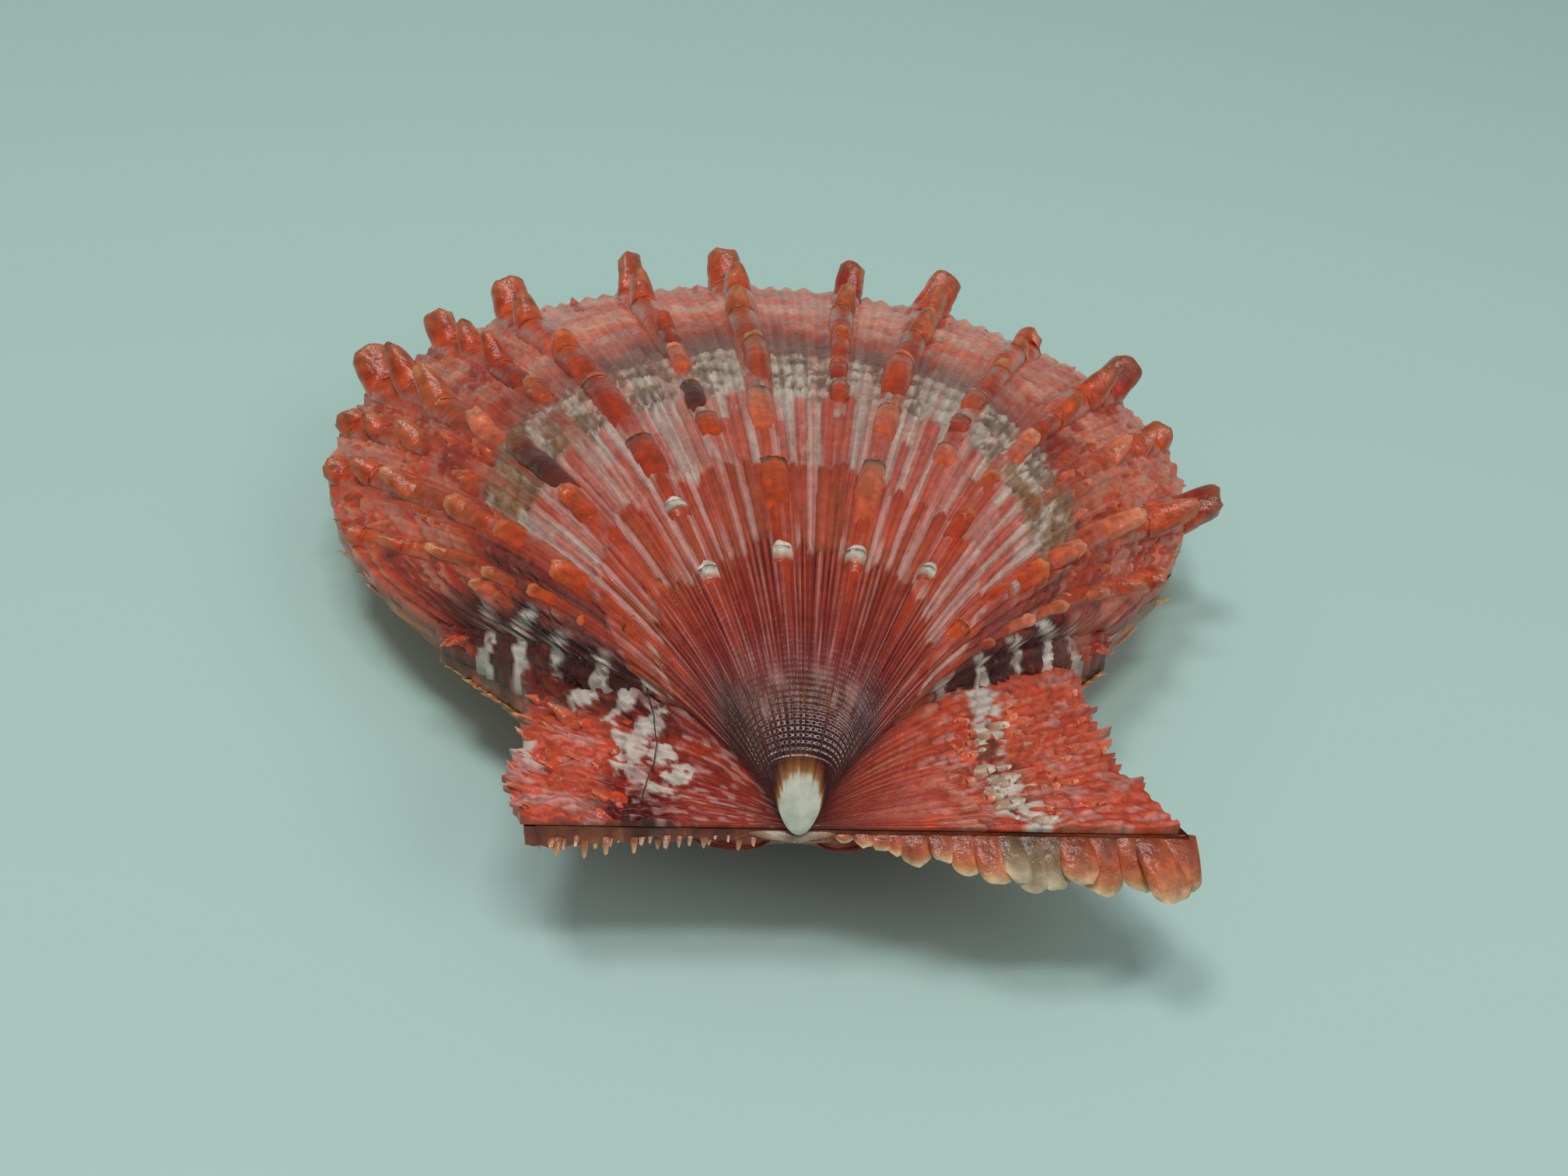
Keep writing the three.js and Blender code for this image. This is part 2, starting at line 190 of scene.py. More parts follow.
def disc_reach(angle):
    """Distance from the umbo to the outline of the disc."""
    sine, cosine = np.sin(np.radians(angle)), np.cos(np.radians(angle))
    a = (sine / HALF_LENGTH) ** 2 + (cosine / HALF_HEIGHT) ** 2
    b = sine * CENTRE_X / HALF_LENGTH**2 + cosine * CENTRE_Y / HALF_HEIGHT**2
    c = (CENTRE_X / HALF_LENGTH) ** 2 + (CENTRE_Y / HALF_HEIGHT) ** 2 - 1
    return (b + np.sqrt(np.maximum(b * b - a * c, 0))) / a


def side_limit(angle):
    return np.where(angle < 0, LEFT_LIMIT, RIGHT_LIMIT)


def ear_reach(valve, angle):
    size = np.abs(angle)
    left = np.interp(size, *valve["left_ear"])
    right = np.interp(size, *valve["right_ear"])
    return np.where(angle < 0, left, right)


def on_grid(angle, growth):
    """Both as arrays of one shape, with the angle's size, its limit on the disc and its radians."""
    angle, growth = np.broadcast_arrays(np.asarray(angle, float), np.asarray(growth, float))
    return angle, growth, np.abs(angle), side_limit(angle), np.radians(angle)


def disc_surface(valve, angle, growth):
    """Disc without ribs at angles (degrees) and growth stages (0 to 1), in mm."""
    angle, growth, size, limit, turn = on_grid(angle, growth)
    reach = growth * disc_reach(angle)
    flank = ease(limit, limit - FLANK_WIDTH, size)
    coil = -np.log(growth) / SPIRAL
    arch = np.maximum(1 - (size / limit) ** ARCH_POWER, 0) ** ARCH_ROOT
    beak = valve["beak"] * (flank if valve["beak"] > 0 else 1) * (1 - growth) ** BEAK_FADE
    girth = 1 + valve["girth"] * np.exp(-growth / BEAK_LENGTH)
    x = reach * np.sin(turn) * girth
    y = reach * np.cos(turn) * np.cos(coil * flank) - beak
    z = growth * DISC_HEIGHT * arch * np.sin(coil) * valve["bulge"]
    return np.stack([x, y, z], -1)


def ear_surface(valve, angle, growth):
    """Ear without riblets at angles (degrees) and growth stages (0 to 1), in mm."""
    angle, growth, size, limit, turn = on_grid(angle, growth)
    reach = growth * ear_reach(valve, angle)
    slope = np.clip((90 - size) / (90 - limit), 0, 1) ** EAR_SLOPE
    lift = EAR_LIFT * valve["bulge"] * np.sin(np.pi * np.clip(growth, 0, 1) ** 0.7) * slope
    lift = lift + valve["ear_raise"] + valve["ear_spread"] * growth
    return np.stack([reach * np.sin(turn), reach * np.cos(turn), lift], -1)


def smooth_surface(valve, angle, growth):
    angle = np.asarray(angle, float)
    is_ear = (np.abs(angle) >= side_limit(angle))[..., None]
    return np.where(is_ear, ear_surface(valve, angle, growth), disc_surface(valve, angle, growth))


def unit(vectors):
    return vectors / np.maximum(np.linalg.norm(vectors, axis=-1, keepdims=True), 1e-9)


def grid_normals(points):
    return unit(np.cross(np.gradient(points, axis=0), np.gradient(points, axis=1)))


def to_world(points, flip=False):
    """Shell axes in mm to the row's frame in metres; the lower valve is turned over first."""
    points = np.array(points, float)
    if flip:
        points[..., 2] = -2 * RIM - points[..., 2]
    pitch, roll = math.radians(-REST_PITCH), math.radians(REST_ROLL)
    about_x = np.array([[1, 0, 0], [0, math.cos(pitch), -math.sin(pitch)],
                        [0, math.sin(pitch), math.cos(pitch)]])
    about_y = np.array([[math.cos(roll), 0, math.sin(roll)], [0, 1, 0],
                        [-math.sin(roll), 0, math.cos(roll)]])
    return (points @ (about_x @ about_y).T + SHIFT) / 1000


def linear(color):
    """An sRGB colour in linear light, a little warmer because the floor's light is blue."""
    color = np.asarray(color, float) / 255
    return np.where(color < 0.04045, color / 12.92, ((color + 0.055) / 1.055) ** 2.4) * WARMTH


def ramp(value, stops):
    """Colour along a list of stops (position and sRGB colour), in linear light."""
    positions = [stop[0] for stop in stops]
    colors = np.array([linear(stop[1:]) for stop in stops])
    return np.stack([np.interp(value, positions, channel) for channel in colors.T], -1)


def mix(base, color, share):
    share = np.asarray(share)[..., None]
    return base * (1 - share) + np.asarray(color) * share


def paint(color, *layers):
    """Lays tints over a colour one after another, each with its share."""
    for tint, share in layers:
        color = mix(color, tint, share)
    return color


# Relief

def riblet_phase(angle, growth, riblets):
    """Riblets counted from the middle."""
    period, seed = riblets
    wander = 0.35 * noise(angle / 3.1, growth * 7, seed + 4)
    return angle / period + 0.7 * noise(angle / 2.7, 0 * angle, seed) + wander


def riblet_wave(angle, growth, riblets):
    """Fine radial riblets of uneven width that multiply outwards: 1 on a crest, 0 in a groove."""
    turn = np.pi * riblet_phase(angle, growth, riblets)
    young = ease(0.17, 0.1, growth)
    return 0.5 + 0.5 * (1 - young) * np.cos(2 * turn) + 0.5 * young * np.cos(0.8 * turn)


def riblet_hash(angle, growth, riblets, salt=0.0):
    """A random number that stays the same along each riblet, for each salt."""
    number = np.round(riblet_phase(angle, growth, riblets))
    return hash_noise(number, 0 * number + salt, riblets[1] + 2)


def rib_relief(valve, angle, growth):
    """Height of the low ridges under the scales (mm), and how far a point is on a rib (0 to 1)."""
    height = np.zeros_like(angle)
    mask = np.zeros_like(angle)
    for centre, half, start, rise, _, _, _ in valve["ribs"]:
        profile = np.clip(1 - ((angle - centre) / (0.9 * half)) ** 4, 0, 1)
        grown = ease(0.5 * start, start + 0.15, growth)
        height = np.maximum(height, 0.3 * rise * (0.15 + 0.85 * growth) * grown * profile)
        mask = np.maximum(mask, grown * ease(0, 0.4, profile))
    return height, mask


def lamella_relief(growth, jag):
    """Older edges that stand over the younger shell, jagged where riblets cross them."""
    relief = np.zeros_like(growth)
    for stop, height in LAMELLAE:
        ahead = growth - stop - jag
        relief = relief + height * zone(-0.025, 0, 0.001, 0.006, ahead)
    return relief


def scallops(angle, growth, riblet):
    """Rows of small arches along the growth lines."""
    return saw(growth * 30 + 1.3 * noise(angle / 4.5, growth * 6, 25) + 0.35 * riblet)


def growth_lines(angle, growth, riblet):
    """Ragged growth lines of the outer zone."""
    return saw(growth * 26 + 1.4 * mottle(angle / 3, growth * 12, 87) + 0.3 * riblet)


def ear_shingles(angle, growth, riblets):
    """Crest of an ear's scaly riblets, rise along each scale and its random number, all 0 to 1."""
    seed = riblets[1]
    crest = riblet_wave(angle, growth, riblets)
    share = riblet_hash(angle, growth, riblets)
    beat = growth * (15 + 8 * share) + 7 * share + 1.6 * noise(angle / 2.5, growth * 9, seed + 8)
    return crest, saw(beat), hash_noise(np.floor(beat), np.round(99 * share), seed + 5)


def ear_relief(angle, growth, riblets):
    """Scaly riblets that fan out over an ear, lumpy on the back one."""
    crest, rise, chance = ear_shingles(angle, growth, riblets)
    outer = ease(0.25, 0.6, growth)
    scaly = np.where(angle < 0, 0.3, 1.0)
    lumpy = np.where(angle < 0, 0.9, 0.45)
    lumps = lumpy * outer * (mottle(angle / 5, growth * 10, riblets[1]) - 0.35)
    return crest * growth * (0.05 + scaly * 0.24 * outer * rise * chance) + lumps


# Colours of the shell (sRGB)
WHITE = linear((212, 204, 200))
OLIVE = linear((144, 100, 60))
BROWN = linear((104, 66, 44))
TAWNY = linear((158, 78, 46))
MAROON = linear((64, 28, 28))
DEEP_RED = linear((120, 38, 34))
RED = linear((164, 54, 42))
ORANGE_RED = linear((190, 64, 30))
CORAL = linear((200, 84, 66))
BRIGHT_CORAL = linear((222, 96, 72))
PINK = linear((208, 122, 112))
PALE_PINK = linear((216, 170, 168))
CREAM = linear((216, 174, 146))
TAN = linear((222, 166, 104))
HAIR_BROWN = linear((58, 42, 30))

OUTER_WARMTH = np.array([0.97, 0.84, 0.76])
LEFT_FLANK = 48.2
RIGHT_FLANK = 46.0
BAR_SPACING = 1.85


def flank_bars(reach, lift):
    """White bars that cross a flank at uneven distances from the umbo (mm)."""
    ragged = 0.7 * mottle(reach * 0.3, lift * 0.5, 41) + 0.18 * mottle(reach * 2.5, lift * 2.5, 42)
    bars = reach / BAR_SPACING + ragged
    bars = np.abs(bars - np.round(bars))
    return ease(0.17, 0.13, bars) * ease(0.24, 0.3, mottle(reach * 0.8, lift * 0.8, 44))


UPPER_ZONES = [
    (0, 214, 220, 212), (0.048, 210, 214, 204), (0.052, 160, 112, 62),
    (0.061, 116, 60, 30), (0.069, 56, 16, 16), (0.087, 72, 24, 24),
    (0.104, 102, 52, 38), (0.122, 112, 52, 38), (0.134, 130, 58, 56),
    (0.165, 150, 52, 46), (0.21, 168, 62, 46), (0.252, 176, 68, 46),
    (0.256, 190, 90, 66), (0.32, 192, 84, 60), (0.362, 184, 70, 44),
    (0.366, 206, 178, 172), (0.43, 204, 172, 166), (0.495, 204, 180, 172),
    (0.503, 202, 186, 174), (0.56, 194, 172, 154), (0.598, 180, 150, 132),
    (0.612, 146, 106, 98), (0.655, 146, 98, 90), (0.69, 194, 98, 80),
    (0.735, 222, 102, 78), (0.775, 226, 114, 88), (0.798, 230, 158, 140),
    (0.825, 228, 152, 132), (0.855, 222, 102, 76), (0.93, 214, 92, 66),
    (0.96, 220, 114, 84), (0.982, 226, 150, 122), (1.000, 222, 142, 114),
]


# Growth stops where the colour of each riblet may change
COLOR_STOPS = (0.254, 0.365, 0.455)


def stripes(angle, growth, width, seed):
    """Radial colour stripes of uneven width that slowly change outwards, from 0 to 1."""
    wide = noise(angle / width, growth * 4, seed)
    fine = noise(angle / (0.45 * width), growth * 7, seed + 1)
    return 0.6 * wide + 0.4 * fine


def umbo_stage(angle, growth):
    """Growth stage for colour: the bands bend back along the sides of the beak."""
    near = ease(0.11, 0.05, growth)
    return growth * (1 + 0.9 * near * (angle / 40) ** 2)


def upper_disc_color(angle, growth, lift, rib_mask):
    """Growth bands, striped riblets and dark, white-barred flanks of the upper valve."""
    size = np.abs(angle)
    between = 1 - rib_mask
    riblet = riblet_wave(angle, growth, UPPER_RIBLETS)
    streak = riblet_hash(angle, growth, UPPER_RIBLETS)
    stripe = stripes(angle, growth, 1.3, 71)
    blotch = mottle(angle / 4, growth * 8, 3)
    grain = mottle(angle / 1.3, growth * 34, 5)
    drift = 0.016 * (streak - 0.5) + 0.012 * (stripe - 0.5)
    drift = drift + 0.04 * (blotch - 0.5) + 0.01 * (grain - 0.5)
    tip_edge = 0.005 * (riblet_hash(angle, growth, TIP_RIBLETS) - 0.5) * (growth < 0.06)
    stage = umbo_stage(angle, growth) + drift * ease(0.09, 0.28, growth) + tip_edge
    band = sum((stage > stop).astype(float) for stop in COLOR_STOPS)
    every_other = np.round(riblet_phase(angle, growth, UPPER_RIBLETS)) % 2
    pale = 0.35 * streak + 0.4 * riblet_hash(angle, growth, UPPER_RIBLETS, band + 1)
    pale = pale + 0.25 * every_other + 0.2 * (stripe - 0.5)
    # mauve cap: pale clouds, dark shoulders
    cap = ease(0.088, 0.1, growth) * ease(0.14, 0.125, stage)
    shoulder = ease(0.055, 0.07, stage) * ease(0.17, 0.13, growth) * ease(18, 32, size)
    # red zone: pink and dark streaks, darkest just before the first growth stop; its fine pale pink
    # threads are partly real pale lines and partly painted glints
    red_zone = ease(0.125, 0.15, growth) * ease(0.258, 0.248, stage)
    pale_threads_and_glints = noise(angle / 0.6, growth * 14, 89) + 0.35 * (riblet - 0.5)
    striae = red_zone * ease(0.19, 0.23, growth) * ease(20, 14, size) * between
    first_stop = between * np.exp(-(((stage - 0.254) / 0.005) ** 2))
    color = paint(
        ramp(stage, UPPER_ZONES),
        (PALE_PINK, 0.35 * cap * ease(0.5, 0.75, mottle(angle / 8, growth * 30, 73))),
        (MAROON, 0.8 * shoulder),
        (PINK, 0.25 * red_zone * ease(0.55, 0.75, stripe)),
        (DEEP_RED, 0.4 * red_zone * ease(0.45, 0.25, stripe)),
        # pale pink threads: partly painted glints
        (PALE_PINK, 0.32 * red_zone * ease(0.7, 0.9, pale_threads_and_glints)),
        (MAROON, 0.6 * striae * ease(0.55, 0.3, riblet) * (streak < 0.7)),
        (OLIVE, 0.5 * first_stop * ease(0.3, 0.5, grain)),
    )
    # orange zone: pale pink stripes, more of them to the sides
    orange_zone = zone(0.248, 0.258, 0.36, 0.368, stage)
    more = 0.12 * ease(14, 26, size) + 0.12 * ease(0.3, 0.26, growth) - 0.06
    # white zone: coral and pink stripes that thin out
    white_zone = zone(0.36, 0.368, 0.49, 0.51, stage)
    lace = scallops(angle, growth, riblet)
    fewer = 0.1 * (band > 2) - 0.06 * ease(20, 28, size) + 0.08 * (lace - 0.5)
    coral = mix(CORAL, PINK, ease(0.4, 0.8, riblet_hash(angle, growth, UPPER_RIBLETS, band + 9)))
    thread = noise(angle / 0.55, growth * 6, 85)
    # lamellae: off-white with beige grooves and brown flecks; the flecks gather below each scalloped
    # lip as painted shadow
    pale_zone = zone(0.49, 0.51, 0.6, 0.612, stage)
    flecks_and_lip_shadow = ease(0.48, 0.58, mottle(angle / 1.8, growth * 45, 21) + 0.25 * (0.5 - lace))
    side_patch = pale_zone * ease(22, 28, size)
    side_patch = side_patch * ease(0.44, 0.52, mottle(angle / 4.5, growth * 16, 23))
    red_side = ease(39, 44, size + 6 * (blotch - 0.5))
    color = paint(
        color,
        (PALE_PINK, 0.75 * orange_zone * ease(0.56, 0.68, pale + more)),
        (TAWNY, 0.5 * orange_zone * ease(0.4, 0.3, pale)),
        (PINK, 0.5 * white_zone * ease(0.72, 0.58, pale + fewer)),
        (coral, 0.85 * white_zone * ease(0.56, 0.46, pale + fewer)),
        (coral, 0.55 * (orange_zone + white_zone) * ease(0.62, 0.8, thread)),
        (WHITE, 0.35 * white_zone * ease(0.4, 0.2, thread)),
        (WHITE, 0.7 * pale_zone * ease(0.35, 0.55, lace)),
        (PINK, 0.35 * pale_zone * ease(0.45, 0.35, stripe)),
        (BROWN, 0.65 * pale_zone * flecks_and_lip_shadow * ease(0.35, 0.55, blotch + 0.1)),
        (OLIVE, 0.75 * side_patch),
        (mix(RED, DEEP_RED, ease(0.4, 0.6, blotch)), 0.85 * (white_zone + pale_zone) * red_side),
    )
    # outer zone: coral at the sides, cream and pink clouds, growth lines
    outer = ease(0.59, 0.63, stage)
    aside = outer * ease(17, 28, size)
    cloud = mottle(angle / 6, growth * 10, 31)
    lines = growth_lines(angle, growth, riblet)
    lined = 0.45 * outer * ease(0.66, 0.74, growth)
    color = paint(
        color,
        (0.4 * CORAL + 0.6 * ORANGE_RED, 0.85 * aside),
        (0.5 * PINK + 0.5 * CREAM, 0.5 * aside * ease(0.54, 0.66, cloud)),
        (0.6 * RED + 0.4 * DEEP_RED, 0.8 * aside * ease(0.5, 0.38, cloud)),
        (PALE_PINK, 0.3 * outer * ease(28, 17, size) * ease(0.5, 0.65, cloud)),
        (DEEP_RED, 0.35 * outer * ease(0.72, 0.66, growth) * ease(0.5, 0.3, stripe)),
        (CREAM, lined * ease(0.72, 0.95, lines)),
        (RED, lined * ease(0.22, 0.05, lines)),
    )
    wisp = outer * ease(0.67, 0.73, growth) * ease(0.5, 0.66, mottle(angle / 4, growth * 17, 93))
    # ribs
    worn = ease(0.38, 0.55, mottle(angle / 1.5, growth * 20, 75) + 0.05)
    # flanks
    reach = growth * disc_reach(angle)
    is_left = angle < 0
    border = np.where(is_left, LEFT_FLANK, RIGHT_FLANK) + 1.6 * (noise(reach, 0 * reach, 43) - 0.5)
    flank = ease(border - 0.8, border + 0.8, size) * ease(4.5, 7.5, reach)
    dark = flank * ease(np.where(is_left, 19, 17), np.where(is_left, 14, 12), reach)
    stain = mottle(reach * 0.9, lift * 0.9, 45)
    color = paint(
        color,
        (color * OUTER_WARMTH, outer),
        (0.5 * CREAM + 0.5 * PALE_PINK, (0.5 - 0.2 * ease(24, 34, size)) * wisp),
        (ORANGE_RED, 0.75 * rib_mask * worn * ease(0.15, 0.24, growth)),
        (MAROON, 0.92 * dark * ease(0.25, 0.4, stain)),
        (WHITE, 0.9 * dark * flank_bars(reach, lift) * ease(16, 13, reach)),
        (DEEP_RED, 0.7 * (flank - dark) * ease(0.5, 0.6, stain)),
    )
    # painted shade darkens the riblet grooves, less on ribs and further out; random grain and
    # blotches vary the tone, and the outer zone is made a little lighter
    riblet_groove_shade = ease(0.6, 0.1, riblet) * (1 - 0.7 * rib_mask) * ease(0.1, 0.16, growth)
    shade = 1 - 0.45 * riblet_groove_shade * (1 - 0.55 * ease(0.2, 0.32, growth) - 0.2 * ease(0.6, 0.7, growth))
    shade = shade * (0.75 + 0.5 * grain) * (0.85 + 0.3 * blotch) * (1 + 0.25 * ease(0.7, 0.8, growth))
    return color * np.where(growth > 0.05, shade, 1)[..., None]


def stroke(angle, growth, start, end, width):
    """1 on the line between two (angle, growth) places, 0 at its width, and less beyond."""
    x, y = angle / 25 - start[0] / 25, growth - start[1]
    run, rise = end[0] / 25 - start[0] / 25, end[1] - start[1]
    share = np.clip((x * run + y * rise) / (run**2 + rise**2), 0, 1)
    return 1 - np.hypot(x - share * run, y - share * rise) / width


BACK_EAR_WHITE = (
    ((-76, 0.5), (-71, 0.6), 0.075), ((-68, 0.58), (-62, 0.62), 0.065),
    ((-62, 0.61), (-53, 0.48), 0.05), ((-66, 0.51), (-62, 0.49), 0.05),
    ((-71, 0.44), (-67, 0.42), 0.06), ((-59, 0.7), (-52, 0.6), 0.04),
    ((-57, 0.83), (-52, 0.74), 0.04), ((-72, 0.96), (-68, 0.99), 0.045),
)


FRONT_EAR_TINTS = [
    (0, 158, 46, 34), (0.3, 190, 62, 38), (0.6, 206, 84, 54),
    (0.85, 212, 116, 90), (1.0, 218, 160, 140),
]


def upper_ear_color(angle, growth):
    """Coral ears with a white patch on the back one and a brown and white band on the front one."""
    is_back = angle < 0
    spots = mottle(angle / 4 + 9, growth * 9, 51)
    grain = mottle(angle / 1.6, growth * 26, 53)
    stripe = stripes(angle, growth, 2.2, 77)
    crest, rise, chance = ear_shingles(angle, growth, UPPER_EAR_RIBLETS)
    bare = ease(0.25, 0.5, growth)
    outside = ease(0.6, 0.74, growth + 0.3 * (spots - 0.5))
    top_dark = ease(-62, -54, angle) * ease(0.35, 0.5, growth)
    hinge_dark = ease(-72, -82, angle) * np.exp(-(((growth - 0.58) / 0.14) ** 2))
    white = np.max([stroke(angle, growth, *place) for place in BACK_EAR_WHITE], 0)
    whitened = 0.95 * ease(0.15, 0.45, white + 2.2 * (mottle(angle / 2.6, growth * 20, 57) - 0.5))
    freckle = ease(0.62, 0.72, noise(angle / 1.3, growth * 30, 59)) * (growth < 0.6)
    back = paint(
        RED,
        (DEEP_RED, 0.5 * ease(0.45, 0.3, stripe)),
        (ORANGE_RED, 0.7 * ease(0.52, 0.62, spots)),
        (BRIGHT_CORAL, outside),
        (PALE_PINK, 0.6 * outside * ease(0.5, 0.4, spots)),
        (MAROON, 0.8 * top_dark * ease(0.35, 0.5, spots + 0.1)),
        (MAROON, 0.9 * hinge_dark * ease(0.25, 0.45, grain)),
        (WHITE, whitened),
        (PALE_PINK, 0.5 * freckle),
    )
    band = np.exp(-(((growth - 0.62 + 0.1 * (stripe - 0.5)) / 0.07) ** 2))
    patch = 0.6 * spots + 0.25 * grain + 0.15 * chance
    front = paint(
        ramp(stripe, FRONT_EAR_TINTS),
        (ramp(chance, FRONT_EAR_TINTS), 0.5 * bare),
        (BRIGHT_CORAL, 0.5 * ease(0.66, 0.76, growth + 0.1 * (spots - 0.5))),
        (PALE_PINK, 0.5 * bare * ease(0.56, 0.66, mottle(angle / 2.2, growth * 15, 63))),
        (DEEP_RED, 0.6 * ease(0.42, 0.15, growth)),
        (WHITE, 0.95 * ease(0.5, 0.8, band) * ease(0.46, 0.52, patch)),
        (BROWN, 0.8 * ease(0.3, 0.7, band) * ease(0.45, 0.38, patch)),
    )
    color = mix(np.where(is_back[..., None], back, front), MAROON, 0.6 * ease(0.2, 0.06, growth))
    # painted shade: darker at the start of each shingle, under the edge of the one before, and in the
    # grooves between riblets; grain is random tone, and the white patch is kept light
    shingle_shade = bare * ease(0.25, 0.05, rise) * np.where(is_back, 0.2, 0.35)
    shade = (1 - 0.25 * ease(0.6, 0.1, crest)) * (1 - shingle_shade) * (0.75 + 0.6 * grain)
    shade = shade + 0.7 * whitened * is_back * (1.1 - shade)
    return color * shade[..., None]


HINGE_TINTS = [
    (0.25, 84, 42, 32), (0.45, 136, 62, 42), (0.6, 166, 92, 62),
    (0.75, 160, 100, 70),
]

LOWER_ZONES = [
    (0, 196, 190, 180), (0.03, 170, 140, 126), (0.07, 150, 60, 46),
    (0.12, 188, 104, 88), (0.16, 160, 54, 40), (0.4, 158, 50, 32),
    (0.6, 188, 88, 48), (1.00, 202, 116, 66),
]


def lower_disc_color(angle, growth, lift, rib_mask):
    """Red and orange bands with tan ribs and dark flanks."""
    reach, limit = growth * disc_reach(angle), side_limit(angle)
    riblet = riblet_wave(angle, growth, LOWER_RIBLETS)
    spots = mottle(angle / 4, growth * 9, 61)
    flank = ease(limit - 6, limit - 4, np.abs(angle)) * ease(0.25, 0.4, growth)
    return paint(
        ramp(growth + 0.05 * (spots - 0.5), LOWER_ZONES),
        (RED, 0.35 * ease(0.4, 0.1, riblet)),
        (TAN, 0.4 * rib_mask * ease(0.6, 0.9, growth)),
        (MAROON, 0.75 * flank * ease(0.3, 0.5, mottle(reach * 0.9, lift * 0.9, 45))),
        (WHITE, 0.12 * flank * flank_bars(reach, lift)),
    )


def lower_ear_color(angle, growth):
    """Orange ears: the back one with a white patch, the front one with a cream band by the notch."""
    is_front = angle > 0
    spots = mottle(angle / 4, growth * 9, 66)
    patch = (angle < 0) * zone(0.35, 0.5, 0.6, 0.75, growth)
    hinge = 0.6 * mottle(growth * 9, 0 * angle, 67) + 0.4 * mottle(growth * 40, angle / 2, 70)
    return paint(
        ORANGE_RED,
        (CORAL, ease(0.4, 0.7, spots)),
        (TAN, 0.25 * is_front * ease(0.3, 0.9, np.sin(60 * growth + 2 * spots))),
        (WHITE, 0.6 * is_front * ease(61, 54, angle)),
        (WHITE, 0.7 * patch * ease(0.5, 0.6, spots)),
        (BROWN, 0.5 * patch * ease(0.4, 0.3, spots)),
        (ramp(hinge, HINGE_TINTS), 0.9 * ease(83, 88, np.abs(angle))),
    )


# Meshes

def add_object(name, data):
    made = bpy.data.objects.new(name, data)
    bpy.context.scene.collection.objects.link(made)
    return made


class Heap:
    """Collects sheets of points, with their colour and growth stage, into one mesh."""

    def __init__(self):
        self.points, self.color, self.stage, self.across, self.quads = [], [], [], [], []
        self.count = 0

    def add(self, points, color, stage, wrap=False, across=0.0):
        """Adds a grid of points; a wrapped grid closes on itself along its second axis."""
        columns, rows = points.shape[:2]
        index = self.count + np.arange(columns * rows).reshape(columns, rows)
        if wrap:
            index = join([index, index[:, :1]], 1)
        corners = [index[:-1, :-1], index[1:, :-1], index[1:, 1:], index[:-1, 1:]]
        self.quads.append(np.stack(corners, -1).reshape(-1, 4))
        self.points.append(points.reshape(-1, 3))
        self.color.append(np.broadcast_to(color, points.shape).reshape(-1, 3))
        self.stage.append(np.broadcast_to(stage, points.shape[:2]).ravel())
        self.across.append(np.broadcast_to(across, points.shape[:2]).ravel())
        self.count += columns * rows

    def piece(self, name, material, slot, flip=False):
        """The mesh in the row's frame, riding on the shell."""
        points = to_world(join(self.points), flip)
        quads = join(self.quads)
        if flip:
            quads = quads[:, ::-1]
        color = join(self.color)
        mesh = bpy.data.meshes.new(name)
        mesh.vertices.add(len(points))
        mesh.vertices.foreach_set("co", points.astype(np.float32).ravel())
        mesh.loops.add(quads.size)
        mesh.loops.foreach_set("vertex_index", quads.astype(np.int32).ravel())
        mesh.polygons.add(len(quads))
        mesh.polygons.foreach_set("loop_start", np.arange(0, quads.size, 4, dtype=np.int32))
        mesh.update(calc_edges=True)
        mesh.validate()
        mesh.polygons.foreach_set("use_smooth", np.ones(len(mesh.polygons), bool))
        tint = mesh.attributes.new("shell_color", "FLOAT_COLOR", "POINT")
        rgba = join([color, np.ones((len(color), 1))], -1)
        tint.data.foreach_set("color", rgba.astype(np.float32).ravel())
        for label, values in (("growth", self.stage), ("across", self.across)):
            layer = mesh.attributes.new(label, "FLOAT", "POINT")
            layer.data.foreach_set("value", join(values).astype(np.float32))
        mesh.materials.append(material)
        piece = add_object(name, mesh)
        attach(piece, "root")
        return piece


def add_skirts(heap, points, color, stage, base):
    """Walls from the margin and both sides of a sheet down to a plane, with painted shade that
    darkens them towards it.
    """
    share = np.linspace(0, 1, 5)[None, :, None]
    for edge in (np.s_[::-1, -1], np.s_[0, ::-1], np.s_[-1]):
        low = points[edge].copy()
        low[:, 2] = base
        wall = points[edge][:, None] * (1 - share) + low[:, None] * share
        grain = mottle(wall[..., 0] * 3.5, wall[..., 2] * 5, 68)[..., None]
        # painted shade: darker towards the plane between the valves, with random grain
        shaded_wall = color[edge][:, None] * (1.1 - 0.5 * share) * (0.6 + 0.8 * grain)
        heap.add(wall, shaded_wall, stage[edge][:, None])


def push_out(points, angle, distance):
    """Moves points away from the umbo, along the plane between the valves."""
    turn = np.radians(angle)
    points[..., 0] += distance * np.sin(turn)
    points[..., 1] += distance * np.cos(turn)


def disc_columns(count):
    """Angles over a disc, crowded where its flanks are steep."""
    step = (LEFT_LIMIT + RIGHT_LIMIT) / count
    steep = join([step * (np.arange(1, 9) / 9) ** 3, step * np.arange(1.4, 5, 0.4)])
    even = np.linspace(-LEFT_LIMIT, RIGHT_LIMIT, count)
    return np.unique(join([even, steep - LEFT_LIMIT, RIGHT_LIMIT - steep]))


def disc_rows():
    """Growth stages over a disc, crowded at the umbo and at each growth stop."""
    even = FIRST_GROWTH + (1 - FIRST_GROWTH) * np.linspace(0, 1, DISC_ROWS) ** ROW_POWER
    near_stops = [stop + step for stop, _ in LAMELLAE for step in (-0.006, 0.001, 0.005)]
    return np.unique(join([even, near_stops]))


